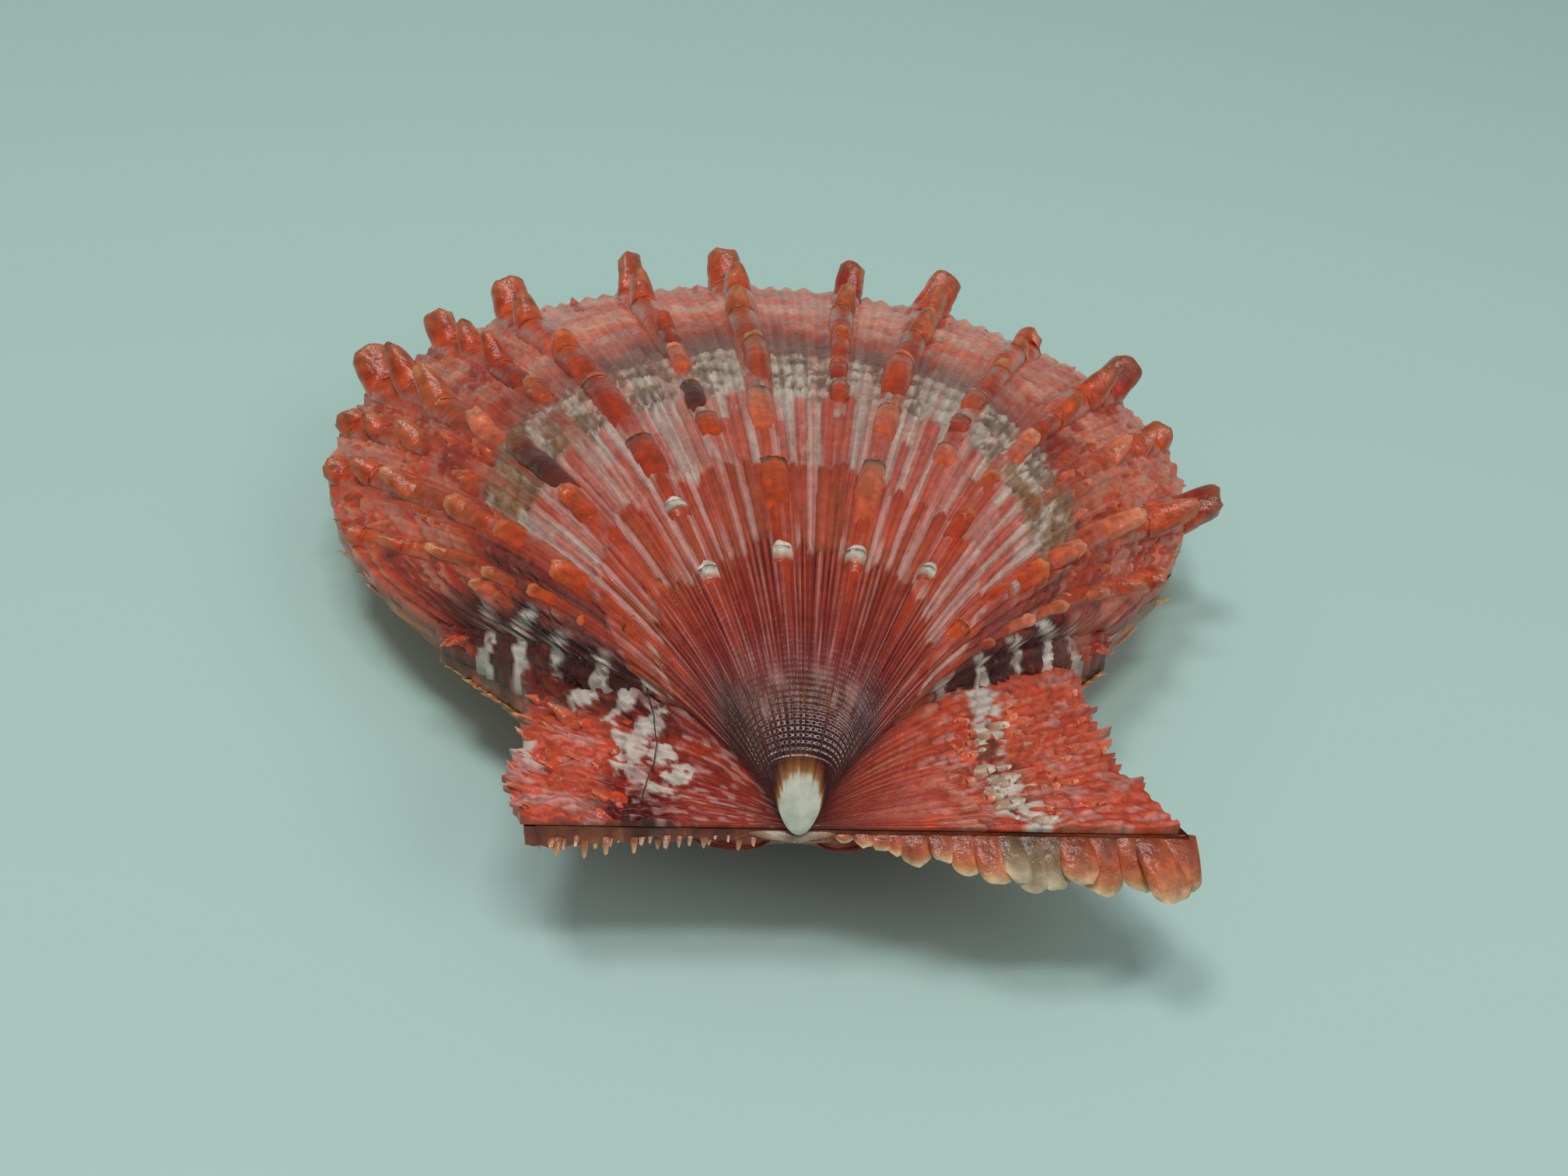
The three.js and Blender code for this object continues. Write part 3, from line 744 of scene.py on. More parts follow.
def upper_relief(angle, growth, riblet, fade, bare):
    """Riblets, lamellae, lace, swellings and growth lines between the upper ribs (mm)."""
    jag = 0.02 * (riblet_hash(angle, growth, UPPER_RIBLETS) - 0.5) + 0.006 * riblet
    jag = jag + 0.05 * (0.5 - mottle(angle / 4, growth * 8, 3))
    outer_fade = 1 - 0.7 * ease(0.68, 0.8, growth)
    young = zone(0.055, 0.07, 0.11, 0.15, growth)
    laced = zone(0.36, 0.42, 0.6, 0.64, growth)
    lined = ease(0.64, 0.72, growth)
    relief = (0.012 * young + (0.035 + 0.12 * growth) * fade * outer_fade) * riblet
    relief = relief + lamella_relief(growth, jag) * bare
    relief = relief + 0.1 * laced * scallops(angle, growth, riblet) * bare
    relief = relief + 0.25 * growth * (mottle(angle / 5, growth * 9, 81) - 0.5)
    return relief + 0.15 * lined * growth_lines(angle, growth, riblet) * bare


def add_disc(heap, valve, is_upper):
    """Outer face of a disc, its edges and its inner face."""
    angle, growth = np.meshgrid(disc_columns(valve["columns"]), disc_rows(), indexing="ij")
    points = disc_surface(valve, angle, growth)
    lift = points[..., 2]
    height, mask = rib_relief(valve, angle, growth)
    fade = ease(0.08, 0.18, growth) * (1 - 0.75 * mask)
    if is_upper:
        riblet = riblet_wave(angle, growth, UPPER_RIBLETS)
        relief = height + upper_relief(angle, growth, riblet, fade, 1 - mask)
        color = upper_disc_color(angle, growth, lift, mask)
    else:
        riblet = riblet_wave(angle, growth, LOWER_RIBLETS)
        relief = 0.6 * height - (0.02 + 0.1 * growth) * fade * (1 - riblet)
        color = lower_disc_color(angle, growth, lift, mask)
    points = points + grid_normals(points) * relief[..., None]
    push_out(points, angle, 0.25 * riblet * ease(0.93, 1, growth))
    heap.add(points, color, growth, across=angle)
    add_skirts(heap, points, color, growth, BASE)
    inner = disc_surface(valve, angle[::4, :1], np.array([INNER_GROWTHS[::-1]]))
    inner = inner - WALL * grid_normals(inner)
    inner[..., 2] = np.maximum(inner[..., 2], BASE)
    rim = points[::4, -1:].copy()
    rim[..., 2] = BASE
    heap.add(join([inner, rim], 1)[::-1], PALE_PINK, np.array(1.0))


def add_ear(heap, valve, is_upper, columns):
    """Outer face of an ear, its edges and its flat under face."""
    angle, growth = np.meshgrid(columns, np.linspace(0.02, 1, EAR_ROWS), indexing="ij")
    size = np.abs(angle)
    riblets = UPPER_EAR_RIBLETS if is_upper else LOWER_EAR_RIBLETS
    points = ear_surface(valve, angle, growth)
    relief = ear_relief(angle, growth, riblets) * (1 if is_upper else 0.6)
    points = points + grid_normals(points) * relief[..., None]
    tooth = riblet_wave(angle, growth, riblets) ** 2 * ease(0.88, 1, growth)
    tooth = (0.5 if is_upper else 0.2) * tooth * riblet_hash(angle, growth, riblets)
    push_out(points, angle, tooth * ease(90, 82, size))
    if not is_upper:
        ragged = 0.5 * mottle(growth * 22, 0 * angle, 69) - 0.2
        points[..., 2] += ragged * ease(84, 90, size)
    color = upper_ear_color(angle, growth) if is_upper else lower_ear_color(angle, growth)
    heap.add(points, color, growth, across=angle / 3)
    base = EAR_SEAM if is_upper else LOWER_EAR_SEAM
    add_skirts(heap, points, color, growth, base)
    under = points[:, ::6].copy()
    under[..., 2] = base
    heap.add(under[::-1], color[::-1, ::6], growth[::-1, ::6])


def add_umbo_patch(heap):
    """Closes the lower valve between its ears, under the umbo."""
    columns = np.linspace(-LEFT_LIMIT - 4, RIGHT_LIMIT + 4, 60)
    angle, growth = np.meshgrid(columns, np.linspace(0.01, 0.35, 16), indexing="ij")
    points = ear_surface(LOWER, angle, growth)
    heap.add(points, ramp(0.03 + growth, LOWER_ZONES), growth, across=angle)


def disc_piece(name, valve, is_upper, material):
    heap = Heap()
    add_disc(heap, valve, is_upper)
    return heap.piece(name, material, name, flip=not is_upper)


def ears_piece(name, valve, is_upper, material, slot):
    heap = Heap()
    add_ear(heap, valve, is_upper, np.linspace(-90, EAR_TUCK - LEFT_LIMIT, EAR_COLUMNS))
    add_ear(heap, valve, is_upper, np.linspace(RIGHT_LIMIT - EAR_TUCK, 90, EAR_COLUMNS))
    if not is_upper:
        add_umbo_patch(heap)
    return heap.piece(name, material, slot, flip=not is_upper)


# Vaulted scales and hollow spines
AROUND_OUT = 15
AROUND_IN = 9
ON_STATIONS = 9
SMALL_STATIONS = 5
OUT_TURN = np.linspace(-math.pi / 2, math.pi / 2, AROUND_OUT)
IN_TURN = np.linspace(math.pi / 2, -math.pi / 2, AROUND_IN)
SIDEWAYS = join([np.sin(OUT_TURN), np.sin(IN_TURN)])
UPRIGHT = np.abs(join([np.cos(OUT_TURN), np.cos(IN_TURN)]))
INSIDE = join([np.zeros(AROUND_OUT), np.ones(AROUND_IN)])
HOLLOW = 1 - 0.24 * INSIDE
EMBED = 0.08


def surface_axes(valve, angle, growth):
    """Point, direction to the margin, direction across and normal on the smooth surface."""
    growth = np.minimum(growth, 0.985)

    def direction(turn, step):
        ahead = smooth_surface(valve, angle + turn, growth + step)
        return unit(ahead - smooth_surface(valve, angle - turn, growth - step))

    along = direction(0, 0.004)
    normal = unit(np.cross(direction(0.2, 0), along))
    return smooth_surface(valve, angle, growth), along, np.cross(along, normal), normal


def with_lip(values):
    """Values at the stations of a gutter, and again the last one for its lip."""
    return join([values, values[-1:]])


def sweep_gutter(heap, centre, way, across, width, height, lag, tint, pale, stage, rough):
    """A thin gutter along a line, hollow underneath, with a ragged rounded lip at its end."""
    up = unit(np.cross(across, way))
    notch = np.interp(OUT_TURN, OUT_TURN[::2], uniform(-0.5, 0.5, len(OUT_TURN[::2])))
    notch = (0.2 + rough) * join([notch, np.interp(IN_TURN[::-1], OUT_TURN, notch)[::-1]])
    fullness = np.linspace(0.95, 0.55, len(centre))[:, None]

    def ring(hollow, back):
        sideways = SIDEWAYS * hollow
        upright = UPRIGHT**fullness * hollow
        return (centre[:, None] + across[:, None] * (width[:, None] * sideways)[..., None]
                + up[:, None] * (height[:, None] * upright)[..., None]
                - way[:, None] * (back[:, None] * (1 - UPRIGHT + notch))[..., None])

    rings = ring(HOLLOW, lag)
    lip = ring(np.full_like(HOLLOW, 0.88), lag)[-1:] + 0.05 * way[-1]
    rings = join([rings, lip])
    x, y = rings[..., 0], rings[..., 1] + 1.3 * rings[..., 2]
    size = with_lip(width)[:, None]
    bump = mottle(x * 1.3, y * 1.3, 91) - 0.5
    outwards = unit(rings - rings.mean(1, keepdims=True))
    rings = rings + outwards * (0.6 * rough * size * bump)[..., None]
    loose = with_lip(pale)[:, None]
    color = with_lip(tint)[:, None] * np.ones((1, len(SIDEWAYS), 1))
    edge = ease(0.8, 1, np.abs(SIDEWAYS)) * loose
    color = paint(color, (CREAM, 0.3 * edge), (PALE_PINK, 0.4 * INSIDE * loose))
    streak = noise(SIDEWAYS * 3 + 40 * random.random(), np.arange(len(rings))[:, None] * 0.4, 97)
    color = color * (0.35 + 0.8 * mottle(x * 2.2, y * 2.2, 95) + 0.5 * streak)[..., None]
    heap.add(rings[:, ::-1], color[:, ::-1], with_lip(stage)[:, None], wrap=True)


def scale_on_rib(heap, valve, angle, start, end, half_width, height, free, lift, lean, kind,
                 blunt, taper, rough=0.4, twist=0.0, wedge=0.0):
    """A vaulted scale that lies on a rib between two growth stages and then stands free."""
    on = np.linspace(0, 1, ON_STATIONS if half_width > 0.4 else SMALL_STATIONS)
    free_count = 4 + int(4 * free)
    off = np.linspace(0, 1, free_count + 1)[1:]
    point, along, across, normal = surface_axes(valve, angle, start + (end - start) * on)
    point = point - EMBED * normal
    turn = math.radians(lean)
    head = along[-1] * math.cos(turn) + across[-1] * math.sin(turn)
    side = across[-1] * math.cos(turn) - along[-1] * math.sin(turn)
    tilt = np.radians(lift) * ease(-0.3, 0.6, off)
    way = head * np.cos(tilt)[:, None] + normal[-1] * np.sin(tilt)[:, None]
    centre = join([point, point[-1] + np.cumsum(free / free_count * way, 0)])
    spin = math.radians(twist) * ease(0, 0.7, off)[:, None]
    free_side = side * np.cos(spin) + np.cross(side[None], way) * np.sin(spin)
    way = join([along, way])
    across = join([across, unit(free_side)])
    swell = ease(0, 0.45 + 0.45 * wedge, on)
    least = 0.9 - 0.3 * wedge
    width = half_width * join([least + (1 - least) * swell, 1 - taper * off**2])
    least = 0.3 - 0.25 * wedge
    rise = height * join([least + (1 - least) * swell, 1 - taper * off**2])
    lag = blunt * half_width * join([0.3 * on**3, 0.3 + 0.7 * off])
    length = join([[0], np.cumsum(np.linalg.norm(np.diff(centre, axis=0), axis=-1))])
    share = length / length[-1]
    pale = join([0 * on, ease(0, 0.5, off)])
    stage = join([start + (end - start) * on, np.full(free_count, end)])
    tint = ramp(share, SCALE_COLORS[kind])
    sweep_gutter(heap, centre, way, across, width, rise, lag, tint, pale, stage, rough)


# Colours along each kind of scale from base (0) to tip (1); the darker bases of the plain, deep, pink
# and tawny rib scales are partly painted shade under the lip of the scale before
SCALE_COLORS = {
    "plain": [(0, 170, 54, 14), (0.6, 198, 72, 18), (0.9, 200, 84, 32), (1, 208, 118, 74)],
    "deep": [(0, 150, 44, 12), (0.6, 182, 58, 14), (0.9, 184, 68, 26), (1, 198, 106, 64)],
    "white": [(0, 176, 56, 26), (0.4, 190, 64, 30), (0.52, 150, 88, 50), (0.62, 208, 200, 188),
              (1, 220, 212, 204)],
    "dark": [(0, 120, 48, 34), (0.4, 92, 36, 30), (0.85, 110, 54, 38), (1, 160, 108, 84)],
    "pink": [(0, 186, 66, 36), (0.5, 210, 98, 62), (0.9, 216, 118, 84), (1, 222, 150, 120)],
    "tawny": [(0, 172, 62, 28), (0.5, 186, 80, 40), (0.9, 190, 96, 54), (1, 204, 140, 100)],
    "spine": [(0, 214, 98, 62), (0.4, 212, 84, 38), (0.8, 196, 74, 34), (1, 186, 112, 78)],
    "dark spine": [(0, 210, 88, 52), (0.4, 190, 64, 28), (0.8, 156, 44, 20), (1, 160, 90, 64)],
    "tan": [(0, 186, 76, 34), (0.6, 204, 106, 50), (1, 226, 178, 112)],
    "ear": [(0, 196, 62, 32), (0.6, 212, 80, 44), (1, 214, 112, 76)],
    "band": [(0, 150, 92, 70), (0.5, 190, 166, 146), (1, 214, 202, 192)],
    "hinge": [(0, 150, 74, 46), (0.55, 184, 86, 50), (0.85, 196, 128, 84), (1, 220, 194, 160)],
    "grey hinge": [(0, 112, 74, 54), (0.55, 140, 110, 82), (1, 210, 194, 168)],
    "thorn": [(0, 122, 60, 42), (0.5, 166, 92, 62), (1, 216, 172, 132)],
}


# Dark scales (rib angle, end), ribs with dark spines, and the rib with two white scales
DARK_SCALES = ((-32.0, 0.56), (-10.0, 0.53))
DARK_SPINES = (6.0, 27.6, 41.0)
WHITEST_RIB = -19.3


def rib_scale_kind(angle, end):
    """Name of the colours of a scale that ends at a growth stage."""
    if end < 0.3 and -25 < angle < 30 or (angle == WHITEST_RIB and end < 0.4):
        return "white"
    if (angle, end) in DARK_SCALES:
        return "dark"
    if end > 0.82:
        return "spine"
    if end > 0.58 and random.random() < 0.35:
        return "tawny"
    return random.choice(["plain", "plain", "deep", "pink", "pink"])


def upper_scales(material):
    heap = Heap()
    for angle, half, start, height, ends, spine, lean in UPPER["ribs"]:
        broad = (half / 1.8) ** 0.8
        spine_width = (0.5 + 0.25 * half) * (1 - 0.4 * ease(36, 42, -angle) - 0.4 * (angle > 44))
        finger = ease(22, 28, abs(angle))
        froms = (max(ends[0] - 0.06, start),) + ends[:-1]
        for low, end in zip(froms, ends):
            tall = ease(0.54, 0.82, end)
            width = (0.74 - 0.18 * finger) * broad * (1 - math.exp(-end / 0.33)) * uniform(0.9, 1.1)
            width = max(width, 0.8 * spine_width * tall)
            rise = height * (0.08 + (0.95 - 0.25 * finger) * end) * uniform(0.7, 1.15)
            rise = rise * (0.8 + 0.2 * ease(0.38, 0.62, end))
            free = (0.4 * end - 0.04) * height * uniform(0.5, 1.4) + 0.75 * spine * tall
            free = free + finger * ease(0.3, 0.5, end) * uniform(0.2, 0.8)
            kind = rib_scale_kind(angle, end)
            if kind == "white":
                width, rise, low, free = 0.95 * width, 1.25 * rise, end - 0.03, 0.22
            elif end < 0.8 and kind != "dark":
                low = low + uniform(0, 0.2) * (end - low)
            place = angle + uniform(-0.25, 0.25) * half
            scale_on_rib(heap, UPPER, place, low, end, width, rise, free, lift=20 + 38 * tall,
                         lean=lean * tall, kind=kind, blunt=0.45 + 0.35 * finger,
                         taper=0.05 + 0.35 * tall, rough=0.5 - 0.3 * tall,
                         twist=25 * tall * uniform(-1, 1),
                         wedge=0.2 if kind == "dark" else 0.55 * (1 - tall))
        kind = "dark spine" if angle in DARK_SPINES else "spine"
        scale_on_rib(heap, UPPER, angle, 0.89, 0.955, spine_width, 0.8 * spine_width, spine, lift=62,
                     lean=lean, kind=kind, blunt=0.45, taper=0.12, rough=0.3,
                     twist=45 * uniform(-1, 1))
    return heap.piece("upper_scales", material, "upper_shell")


def upper_small_scales(material):
    heap = Heap()
    add_margin_teeth(heap, UPPER, "ear", 0.94)
    add_ear_scales(heap)
    add_rough_scales(heap)
    return heap.piece("upper_small_scales", material, "upper_shell")


# Small scales: stages that lie on the shell, half width, height and free length (mm), bluntness,
# taper, roughness
CROWDED = (0.05, 0.32, 0.22, 0.5, 1.1, 0.4, 0.4)
MARGIN_TOOTH = (0.04, 0.28, 0.2, 0.5, 1.5, 0.6, 0.4)
SIDE_TOOTH = (0.03, 0.2, 0.2, 0.5, 1.5, 0.6, 0.4)
EAR_THORN = (0.06, 0.26, 0.2, 0.6, 1.6, 0.6, 0.4)
BACK_EAR_SCALE = (0.07, 0.34, 0.22, 0.3, 1.2, 0.5, 0.3)
FRONT_EAR_SCALE = (0.06, 0.26, 0.22, 0.3, 0.9, 0.3, 0.25)
EAR_KINDS = ["ear", "pink"]


def small_scale(heap, valve, shape, angle, growth, size, lift, lean, kind, stretch=1):
    """A scale of one of the small shapes that ends at a growth stage."""
    back, width, rise, free, blunt, taper, rough = shape
    scale_on_rib(heap, valve, angle, growth - back, growth, width * size, rise * size,
                 free * size * stretch, lift, lean, kind, blunt, taper, rough)


def add_rough_scales(heap):
    """Small crowded scales that roughen both sides of the disc towards the margin."""
    for side, low, high, count in ((-1, 33, 48, 60), (1, 31, 46, 45)):
        for _ in range(count):
            angle, growth, size = side * uniform(low, high), uniform(0.62, 0.96), uniform(0.5, 1.2)
            kind = random.choice(["plain", "deep", "pink", "ear"])
            small_scale(heap, UPPER, CROWDED, angle, growth, size, uniform(10, 40), uniform(-20, 20),
                        kind)


def add_margin_teeth(heap, valve, kind, first):
    """Small pointed teeth round the margin and, from a growth stage on, down both sides."""
    for side, limit in ((-1, LEFT_LIMIT), (1, RIGHT_LIMIT)):
        for angle in join([np.arange(3, 24, 2.3), np.arange(24, limit - 4, 1.1)]):
            size, growth = uniform(0.6, 1.3), uniform(0.955, 0.98)
            stretch = 1 + 1.6 * random.random() ** 3
            small_scale(heap, valve, MARGIN_TOOTH, side * angle, growth, size, uniform(0, 30),
                        uniform(-20, 20), kind, stretch)
        for growth in np.arange(first, 0.97, 0.03):
            small_scale(heap, valve, SIDE_TOOTH, side * (limit - 0.6), growth, uniform(0.5, 1.2),
                        uniform(0, 30), side * uniform(30, 70), kind)


BACK_EAR_THORNS = (
    (-85, 0.93), (-80, 0.97), (-76, 0.99), (-73, 0.86), (-70, 0.97), (-66, 0.99), (-64, 0.9),
    (-60, 0.99), (-59, 0.86), (-78, 0.8), (-70, 0.76), (-81, 0.66), (-56, 0.95),
)


def add_ear_scales(heap):
    """Thorns and scales on the back ear, and small rounded scales on the front one."""
    for angle, growth in BACK_EAR_THORNS:
        small_scale(heap, UPPER, EAR_THORN, angle, growth, uniform(0.7, 1.3), 42, uniform(-25, 25),
                    random.choice(EAR_KINDS))
    for _ in range(40):
        angle, growth, size = uniform(-87, -57), uniform(0.66, 1.0), uniform(0.5, 1.0)
        small_scale(heap, UPPER, BACK_EAR_SCALE, angle, growth, size, 25, uniform(-25, 25),
                    random.choice(EAR_KINDS))
    for _ in range(95):
        angle, growth, size = uniform(54, 88), uniform(0.5, 1.0), uniform(0.6, 1.1)
        kind = "band" if 0.56 < growth < 0.68 else random.choice(EAR_KINDS)
        small_scale(heap, UPPER, FRONT_EAR_SCALE, angle, growth, size, 30, uniform(-15, 15), kind)


def lower_scales(material):
    heap = Heap()
    for angle, _, start, _, ends, spine, lean in LOWER["ribs"]:
        for low, end in zip((start,) + ends[:-1], ends):
            width, rise = 0.3 + 0.4 * end, 0.1 + 0.2 * end
            scale_on_rib(heap, LOWER, angle, low, end, width, rise, free=0.4, lift=14, lean=0,
                         kind="tan", blunt=0.8, taper=0.1)
        scale_on_rib(heap, LOWER, angle, 0.9, 0.97, half_width=0.42, height=0.3, free=0.8 * spine,
                     lift=24, lean=lean, kind="tan", blunt=1.6, taper=0.5)
    add_margin_teeth(heap, LOWER, "tan", 0.7)
    add_hinge_scales(heap)
    add_hinge_lip(heap)
    return heap.piece("lower_scales", material, "lower_shell", flip=True)


# End of the thorns under the back ear, and place and length of the tongues under the front one (mm)
THORNS_END = -8.6
HINGE_TONGUES = (
    (1.5, 0.2), (2.1, 0.3), (2.7, 0.4), (3.2, 0.5), (3.8, 0.85), (4.6, 0.75), (5.4, 1.15),
    (6.2, 1.45), (6.9, 1.35), (7.5, 1.55), (8.2, 1.5), (9.0, 1.4), (9.8, 1.65), (10.9, 1.5),
    (11.6, 2.0), (12.3, 1.6),
)


def hang_tongue(heap, x, length, width, dip, kind, blunt, taper, rough, root_drop=0.05):
    """A scale rooted under the seam of the hinge that stands out and curls down."""
    along = np.linspace(0, 1, 12)
    head = unit(np.array([math.copysign(uniform(-0.1, 0.3), x), -1.0, 0.0]))
    side = np.repeat(np.cross([0, 0, 1], head)[None], len(along), 0)
    tilt = np.radians(dip + 35 * along)
    way = head * np.cos(tilt)[:, None] + np.array([0, 0, 1]) * np.sin(tilt)[:, None]
    root = np.array([x, 0.2, LOWER_EAR_SEAM + root_drop + 0.3 * width])
    centre = root + np.cumsum(np.diff(along, prepend=0)[:, None] * (length + 0.2) * way, 0)
    width = width * (1 - taper * along)
    tint, pale, stage = ramp(along, SCALE_COLORS[kind]), ease(0.5, 1, along), np.full(len(along), 0.9)
    lag = blunt * width * along**3
    sweep_gutter(heap, centre, way, side, width, 0.3 * width, lag, tint, pale, stage, rough)


def add_hinge_scales(heap):
    """Overlapping tongues under the front ear and thin thorns under the back one."""
    for x, length in HINGE_TONGUES:
        kind = "grey hinge" if 6.6 < x < 8.6 else "hinge"
        width, dip = 0.32 + 0.26 * length, uniform(12, 26)
        hang_tongue(heap, x, length, width, dip, kind, blunt=0.8, taper=0.1, rough=0.12)
    x = -1.4
    while x > THORNS_END:
        share = x / THORNS_END
        length = uniform(0.06, 0.32) + 0.6 * share * random.random() ** 2
        width, dip = uniform(0.06, 0.14) + 0.16 * length, uniform(-10, 50)
        hang_tongue(heap, x, length, width, dip, "thorn", blunt=1.2, taper=0.6, rough=0.8,
                    root_drop=0.12 + 0.4 * share * uniform(0.6, 1))
        x -= uniform(0.1, 0.5)


LIP_TINTS = [(0.2, 150, 110, 88), (0.6, 186, 172, 154), (1.6, 156, 90, 62)]


def add_hinge_lip(heap):
    """Pale lip in the middle of the hinge, under the beak of the upper valve."""
    x, share = np.meshgrid(np.linspace(-1.6, 1.2, 29), np.linspace(0, 1, 9), indexing="ij")
    fullness = np.clip(1 - ((x + 0.2) / 1.4) ** 2, 0, 1)
    depth = LOWER_EAR_SEAM + share * (0.3 + 0.15 * fullness)
    y = 0.12 - (0.12 + 0.22 * fullness) * np.sin(np.pi * share) ** 0.7
    color = ramp(np.abs(x + 0.2) + 0.5 * share, LIP_TINTS)
    heap.add(np.stack([x, y, depth], -1)[::-1], color[::-1], np.array(1.0))


def hair_piece(material):
    """A fine hair that lies over the back ear."""
    path = np.array(HAIR)
    share = np.linspace(0, 1, 60)
    knots = np.linspace(0, 1, len(path))
    angle = np.interp(share, knots, path[:, 0])
    growth = np.interp(share, knots, path[:, 1])
    line = ear_surface(UPPER, angle, growth) + np.array([0, 0, HAIR_LIFT])
    turn = np.linspace(0, 2 * math.pi, 7)[:-1]
    circle = np.stack([np.cos(turn), 0 * turn, np.sin(turn)], -1) * HAIR_RADIUS
    heap = Heap()
    heap.add(line[:, None] + circle[None], HAIR_BROWN, np.array(1.0), wrap=True)
    return heap.piece("stray_hair", material, "upper_shell")


# Materials, stage and camera

class ShaderTree:
    """Adds nodes to a material; each method but feed gives the output of the node that it adds."""

    def __init__(self, material):
        material.use_nodes = True
        self.tree = material.node_tree

    def feed(self, node, inputs):
        """Links each input to an output, or sets it to a constant."""
        for socket, value in inputs.items():
            if isinstance(value, bpy.types.NodeSocket):
                self.tree.links.new(value, node.inputs[socket])
            else:
                node.inputs[socket].default_value = value

    def add(self, kind, output, inputs, **settings):
        node = self.tree.nodes.new("ShaderNode" + kind)
        for name, value in settings.items():
            setattr(node, name, value)
        self.feed(node, inputs)
        return node.outputs[output]

    def attribute(self, name, output):
        return self.add("Attribute", output, {}, attribute_name=name)

    def math(self, operation, *values):
        return self.add("Math", 0, dict(enumerate(values)), operation=operation)

    def remap(self, *values):
        names = ("Value", "From Min", "From Max", "To Min", "To Max")
        return self.add("MapRange", "Result", dict(zip(names, values)))

    def multiply(self, color, factor):
        inputs = {"Factor": 1.0, 6: color, 7: factor}
        return self.add("Mix", 2, inputs, data_type="RGBA", blend_type="MULTIPLY")

    def curve(self, value, spots):
        """A curve through spots, from 0 at 0 on and level after the last one."""
        node = self.tree.nodes.new("ShaderNodeFloatCurve")
        points = node.mapping.curves[0].points
        for spot in spots:
            points.new(*spot)
        points[0].location = (0, 0)
        points[-1].location = (1, spots[-1][1])
        node.mapping.update()
        self.feed(node, {"Value": value})
        return node.outputs["Value"]


# Speckle: scale and how far it shades the tint. Fibres: scale across and along the growth.
# Threads across the growth, and ripples along it: pace and, by growth stage, depth
SPECKLE_SCALE = 2600
GRAIN = 0.24
FIBRE_SCALE = (1.6, 40.0, 1.0)
THREAD_PACE = 9.5
RIPPLE_PACE = 1250
RIPPLE_DEPTH = ((0.052, 0.0), (0.065, 0.25), (0.1, 0.25), (0.14, 0.2))


def shell_material(name, roughness, lamellae, coat, fibres, depth_mm):
    """Glossy shell: vertex tint with fine speckle, and a bump of growth lamellae and grain."""
    material = bpy.data.materials.new(name)
    nodes = ShaderTree(material)
    tint = nodes.attribute("shell_color", "Color")
    stage = nodes.attribute("growth", "Fac")
    across = nodes.attribute("across", "Fac")
    place = nodes.add("TexCoord", "Object", {})
    speckle = nodes.add("TexNoise", "Fac", {"Vector": place, "Scale": SPECKLE_SCALE, "Detail": 5})
    fan = nodes.add("CombineXYZ", "Vector", {"X": across, "Y": stage})
    fan = nodes.add("Mapping", "Vector", {"Vector": fan, "Scale": FIBRE_SCALE})
    fibre = nodes.add("TexNoise", "Fac", {"Vector": fan, "Scale": 1.0, "Detail": 4})
    thread = nodes.math("SINE", nodes.math("MULTIPLY_ADD", across, THREAD_PACE, fibre))
    coarse = nodes.math("MULTIPLY_ADD", fibre, fibres, speckle)
    ruled = nodes.math("MULTIPLY_ADD", thread, 0.14 * fibres, coarse)
    shade = nodes.remap(ruled, 0.3 + 0.3 * fibres, 0.7 + 0.7 * fibres, 1 - GRAIN, 1 + GRAIN)
    wave = nodes.math("SINE", nodes.math("MULTIPLY", stage, RIPPLE_PACE))
    ripple = nodes.math("MULTIPLY", wave, nodes.curve(stage, RIPPLE_DEPTH))
    uneven = nodes.math("MULTIPLY", ruled, nodes.remap(stage, 0.09, 0.16, 0.08, 1.0))
    height = nodes.math("MULTIPLY_ADD", ripple, lamellae, uneven)
    inputs = {"Height": height, "Strength": 0.5, "Distance": depth_mm / 1000}
    bump = nodes.add("Bump", "Normal", inputs)
    nodes.feed(material.node_tree.nodes["Principled BSDF"], {
        "Base Color": nodes.multiply(tint, shade),
        "Roughness": nodes.remap(stage, 0.085, 0.13, 0.42 * roughness, roughness),
        "Normal": bump,
        "Coat Normal": bump,
        "Specular IOR Level": 0.3,
        "Coat Weight": coat,
        "Coat Roughness": 0.08,
    })
    return material


def add_area(name, place, target, size, energy):
    light = bpy.data.lights.new(name, "AREA")
    light.shape = "RECTANGLE"
    light.size, light.size_y = size
    light.energy = energy
    lamp = add_object(name, light)
    lamp.location = place
    lamp.rotation_euler = (Vector(target) - Vector(place)).to_track_quat("-Z", "Y").to_euler()


FLOOR_COLOR = (0.565, 0.825, 0.755, 1)
FLOOR_HALF = 1.5
SKY_COLOR = (0.95, 0.98, 1.0, 1)
SKY_STRENGTH = 0.23
# name, place, target, size (m), power (W)
LIGHTS = (
    ("key", (-0.06, -0.02, 0.25), (0, 0, 0.005), (0.05, 0.05), 0.13),
    ("fill", (0.14, -0.12, 0.18), (0, 0, 0.005), (0.12, 0.12), 0.06),
    ("glint", (0.012, -0.072, 0.251), (0, -0.016, 0.008), (0.08, 0.03), 0.14),
)


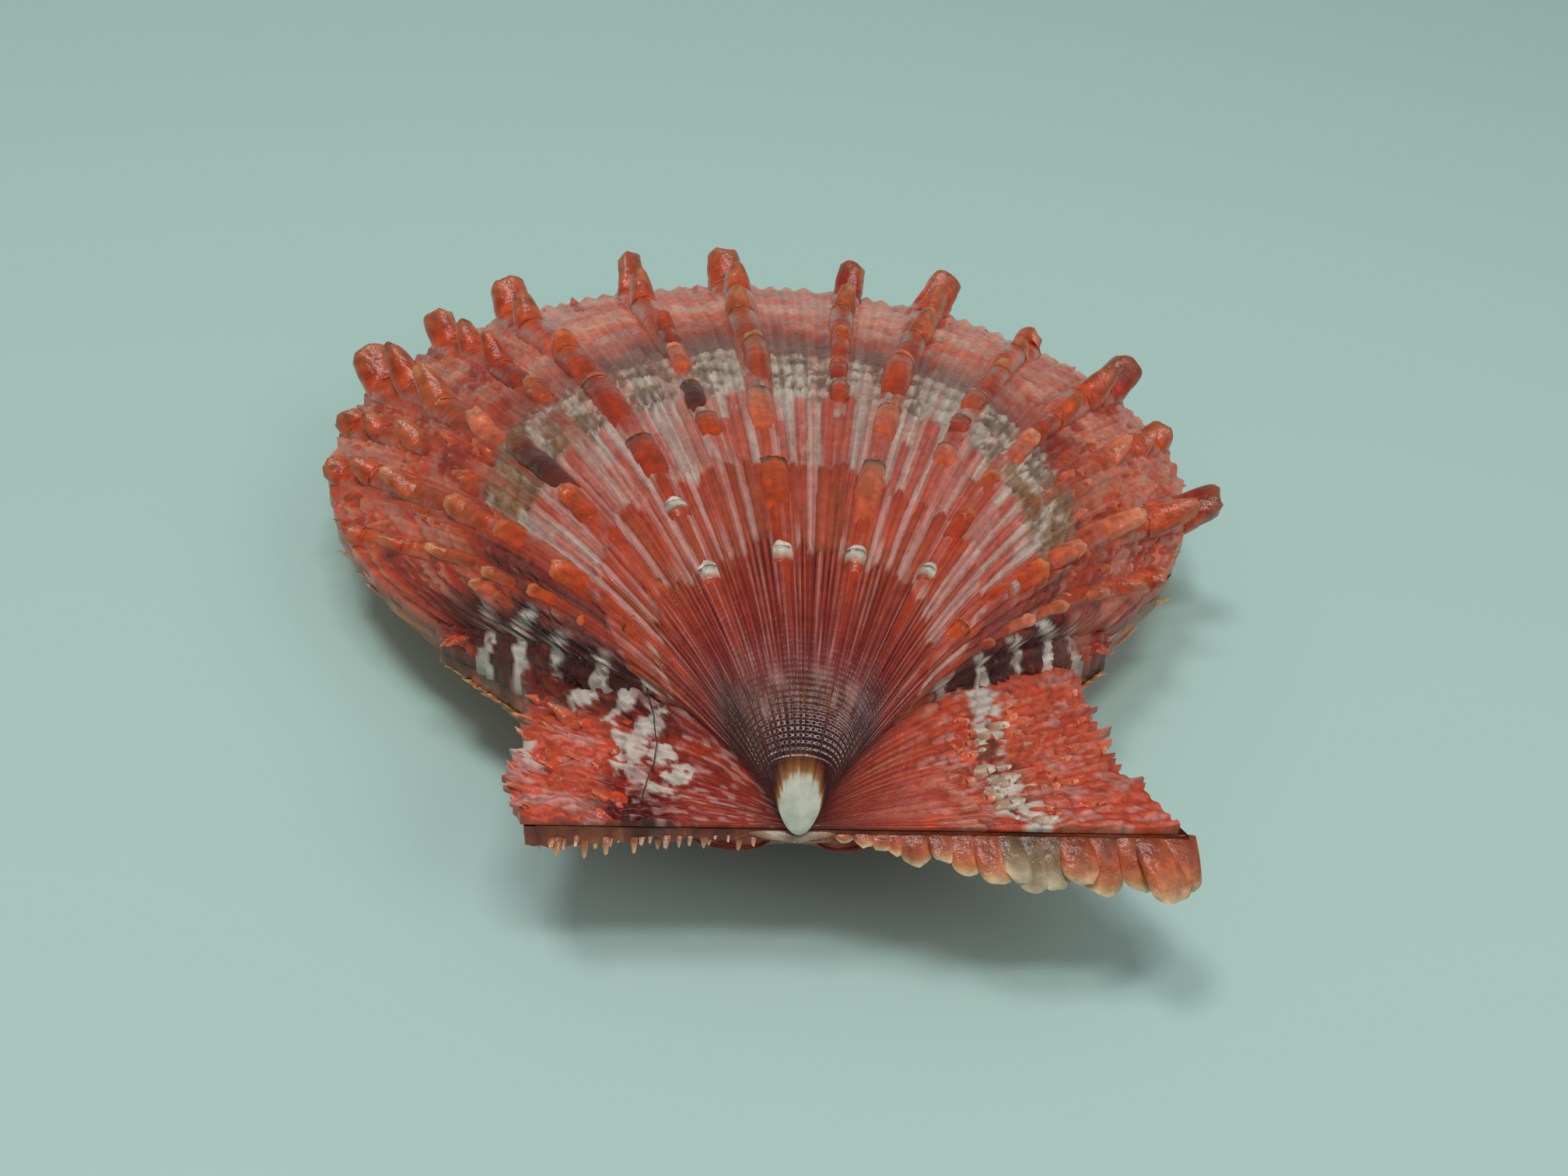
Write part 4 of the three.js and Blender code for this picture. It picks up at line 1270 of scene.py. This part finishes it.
def build_stage():
    """Plain pale floor and soft light."""
    mesh = bpy.data.meshes.new("floor")
    corners = [(x * FLOOR_HALF, y * FLOOR_HALF, 0) for x, y in ((-1, -1), (1, -1), (1, 1), (-1, 1))]
    mesh.from_pydata(corners, [], [(0, 1, 2, 3)])
    floor = add_object("floor", mesh)
    material = bpy.data.materials.new("floor")
    material.use_nodes = True
    shader = material.node_tree.nodes["Principled BSDF"]
    shader.inputs["Base Color"].default_value = FLOOR_COLOR
    shader.inputs["Roughness"].default_value = 0.7
    mesh.materials.append(material)
    world = bpy.data.worlds.new("studio")
    world.use_nodes = True
    sky = world.node_tree.nodes["Background"]
    sky.inputs["Color"].default_value = SKY_COLOR
    sky.inputs["Strength"].default_value = SKY_STRENGTH
    bpy.context.scene.world = world
    for light in LIGHTS:
        add_area(*light)


def build_camera():
    back = np.cross(CAMERA_RIGHT, CAMERA_UP)
    origin = to_world(np.zeros(3))
    turned = [unit(to_world(1000 * axis) - origin) for axis in (CAMERA_RIGHT, CAMERA_UP, back)]
    matrix = np.eye(4)
    matrix[:3, :3] = np.stack(turned, 1)
    matrix[:3, 3] = to_world(CAMERA_PLACE)
    data = bpy.data.cameras.new("camera")
    data.lens = CAMERA_LENS
    data.sensor_width = SENSOR_WIDTH
    data.clip_start = 0.001
    camera = add_object("camera", data)
    camera.matrix_world = Matrix(matrix.tolist())
    bpy.context.scene.camera = camera


shell = shell_material("shell", roughness=0.28, lamellae=0.28, coat=0.12, fibres=0.6, depth_mm=0.13)
glossy = shell_material("scale", roughness=0.3, lamellae=0, coat=0.5, fibres=0, depth_mm=0.2)
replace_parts(disc_piece("upper_shell", UPPER, True, shell), "upper_valve")
ears_piece("upper_ears", UPPER, True, shell, "upper_shell")
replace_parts(disc_piece("lower_shell", LOWER, False, shell), "lower_valve")
ears_piece("lower_ears", LOWER, False, shell, "lower_shell")
upper_scales(glossy)
upper_small_scales(glossy)
lower_scales(glossy)
hair_piece(shell)
build_stage()
build_camera()
bpy.context.scene.view_settings.view_transform = "Standard"
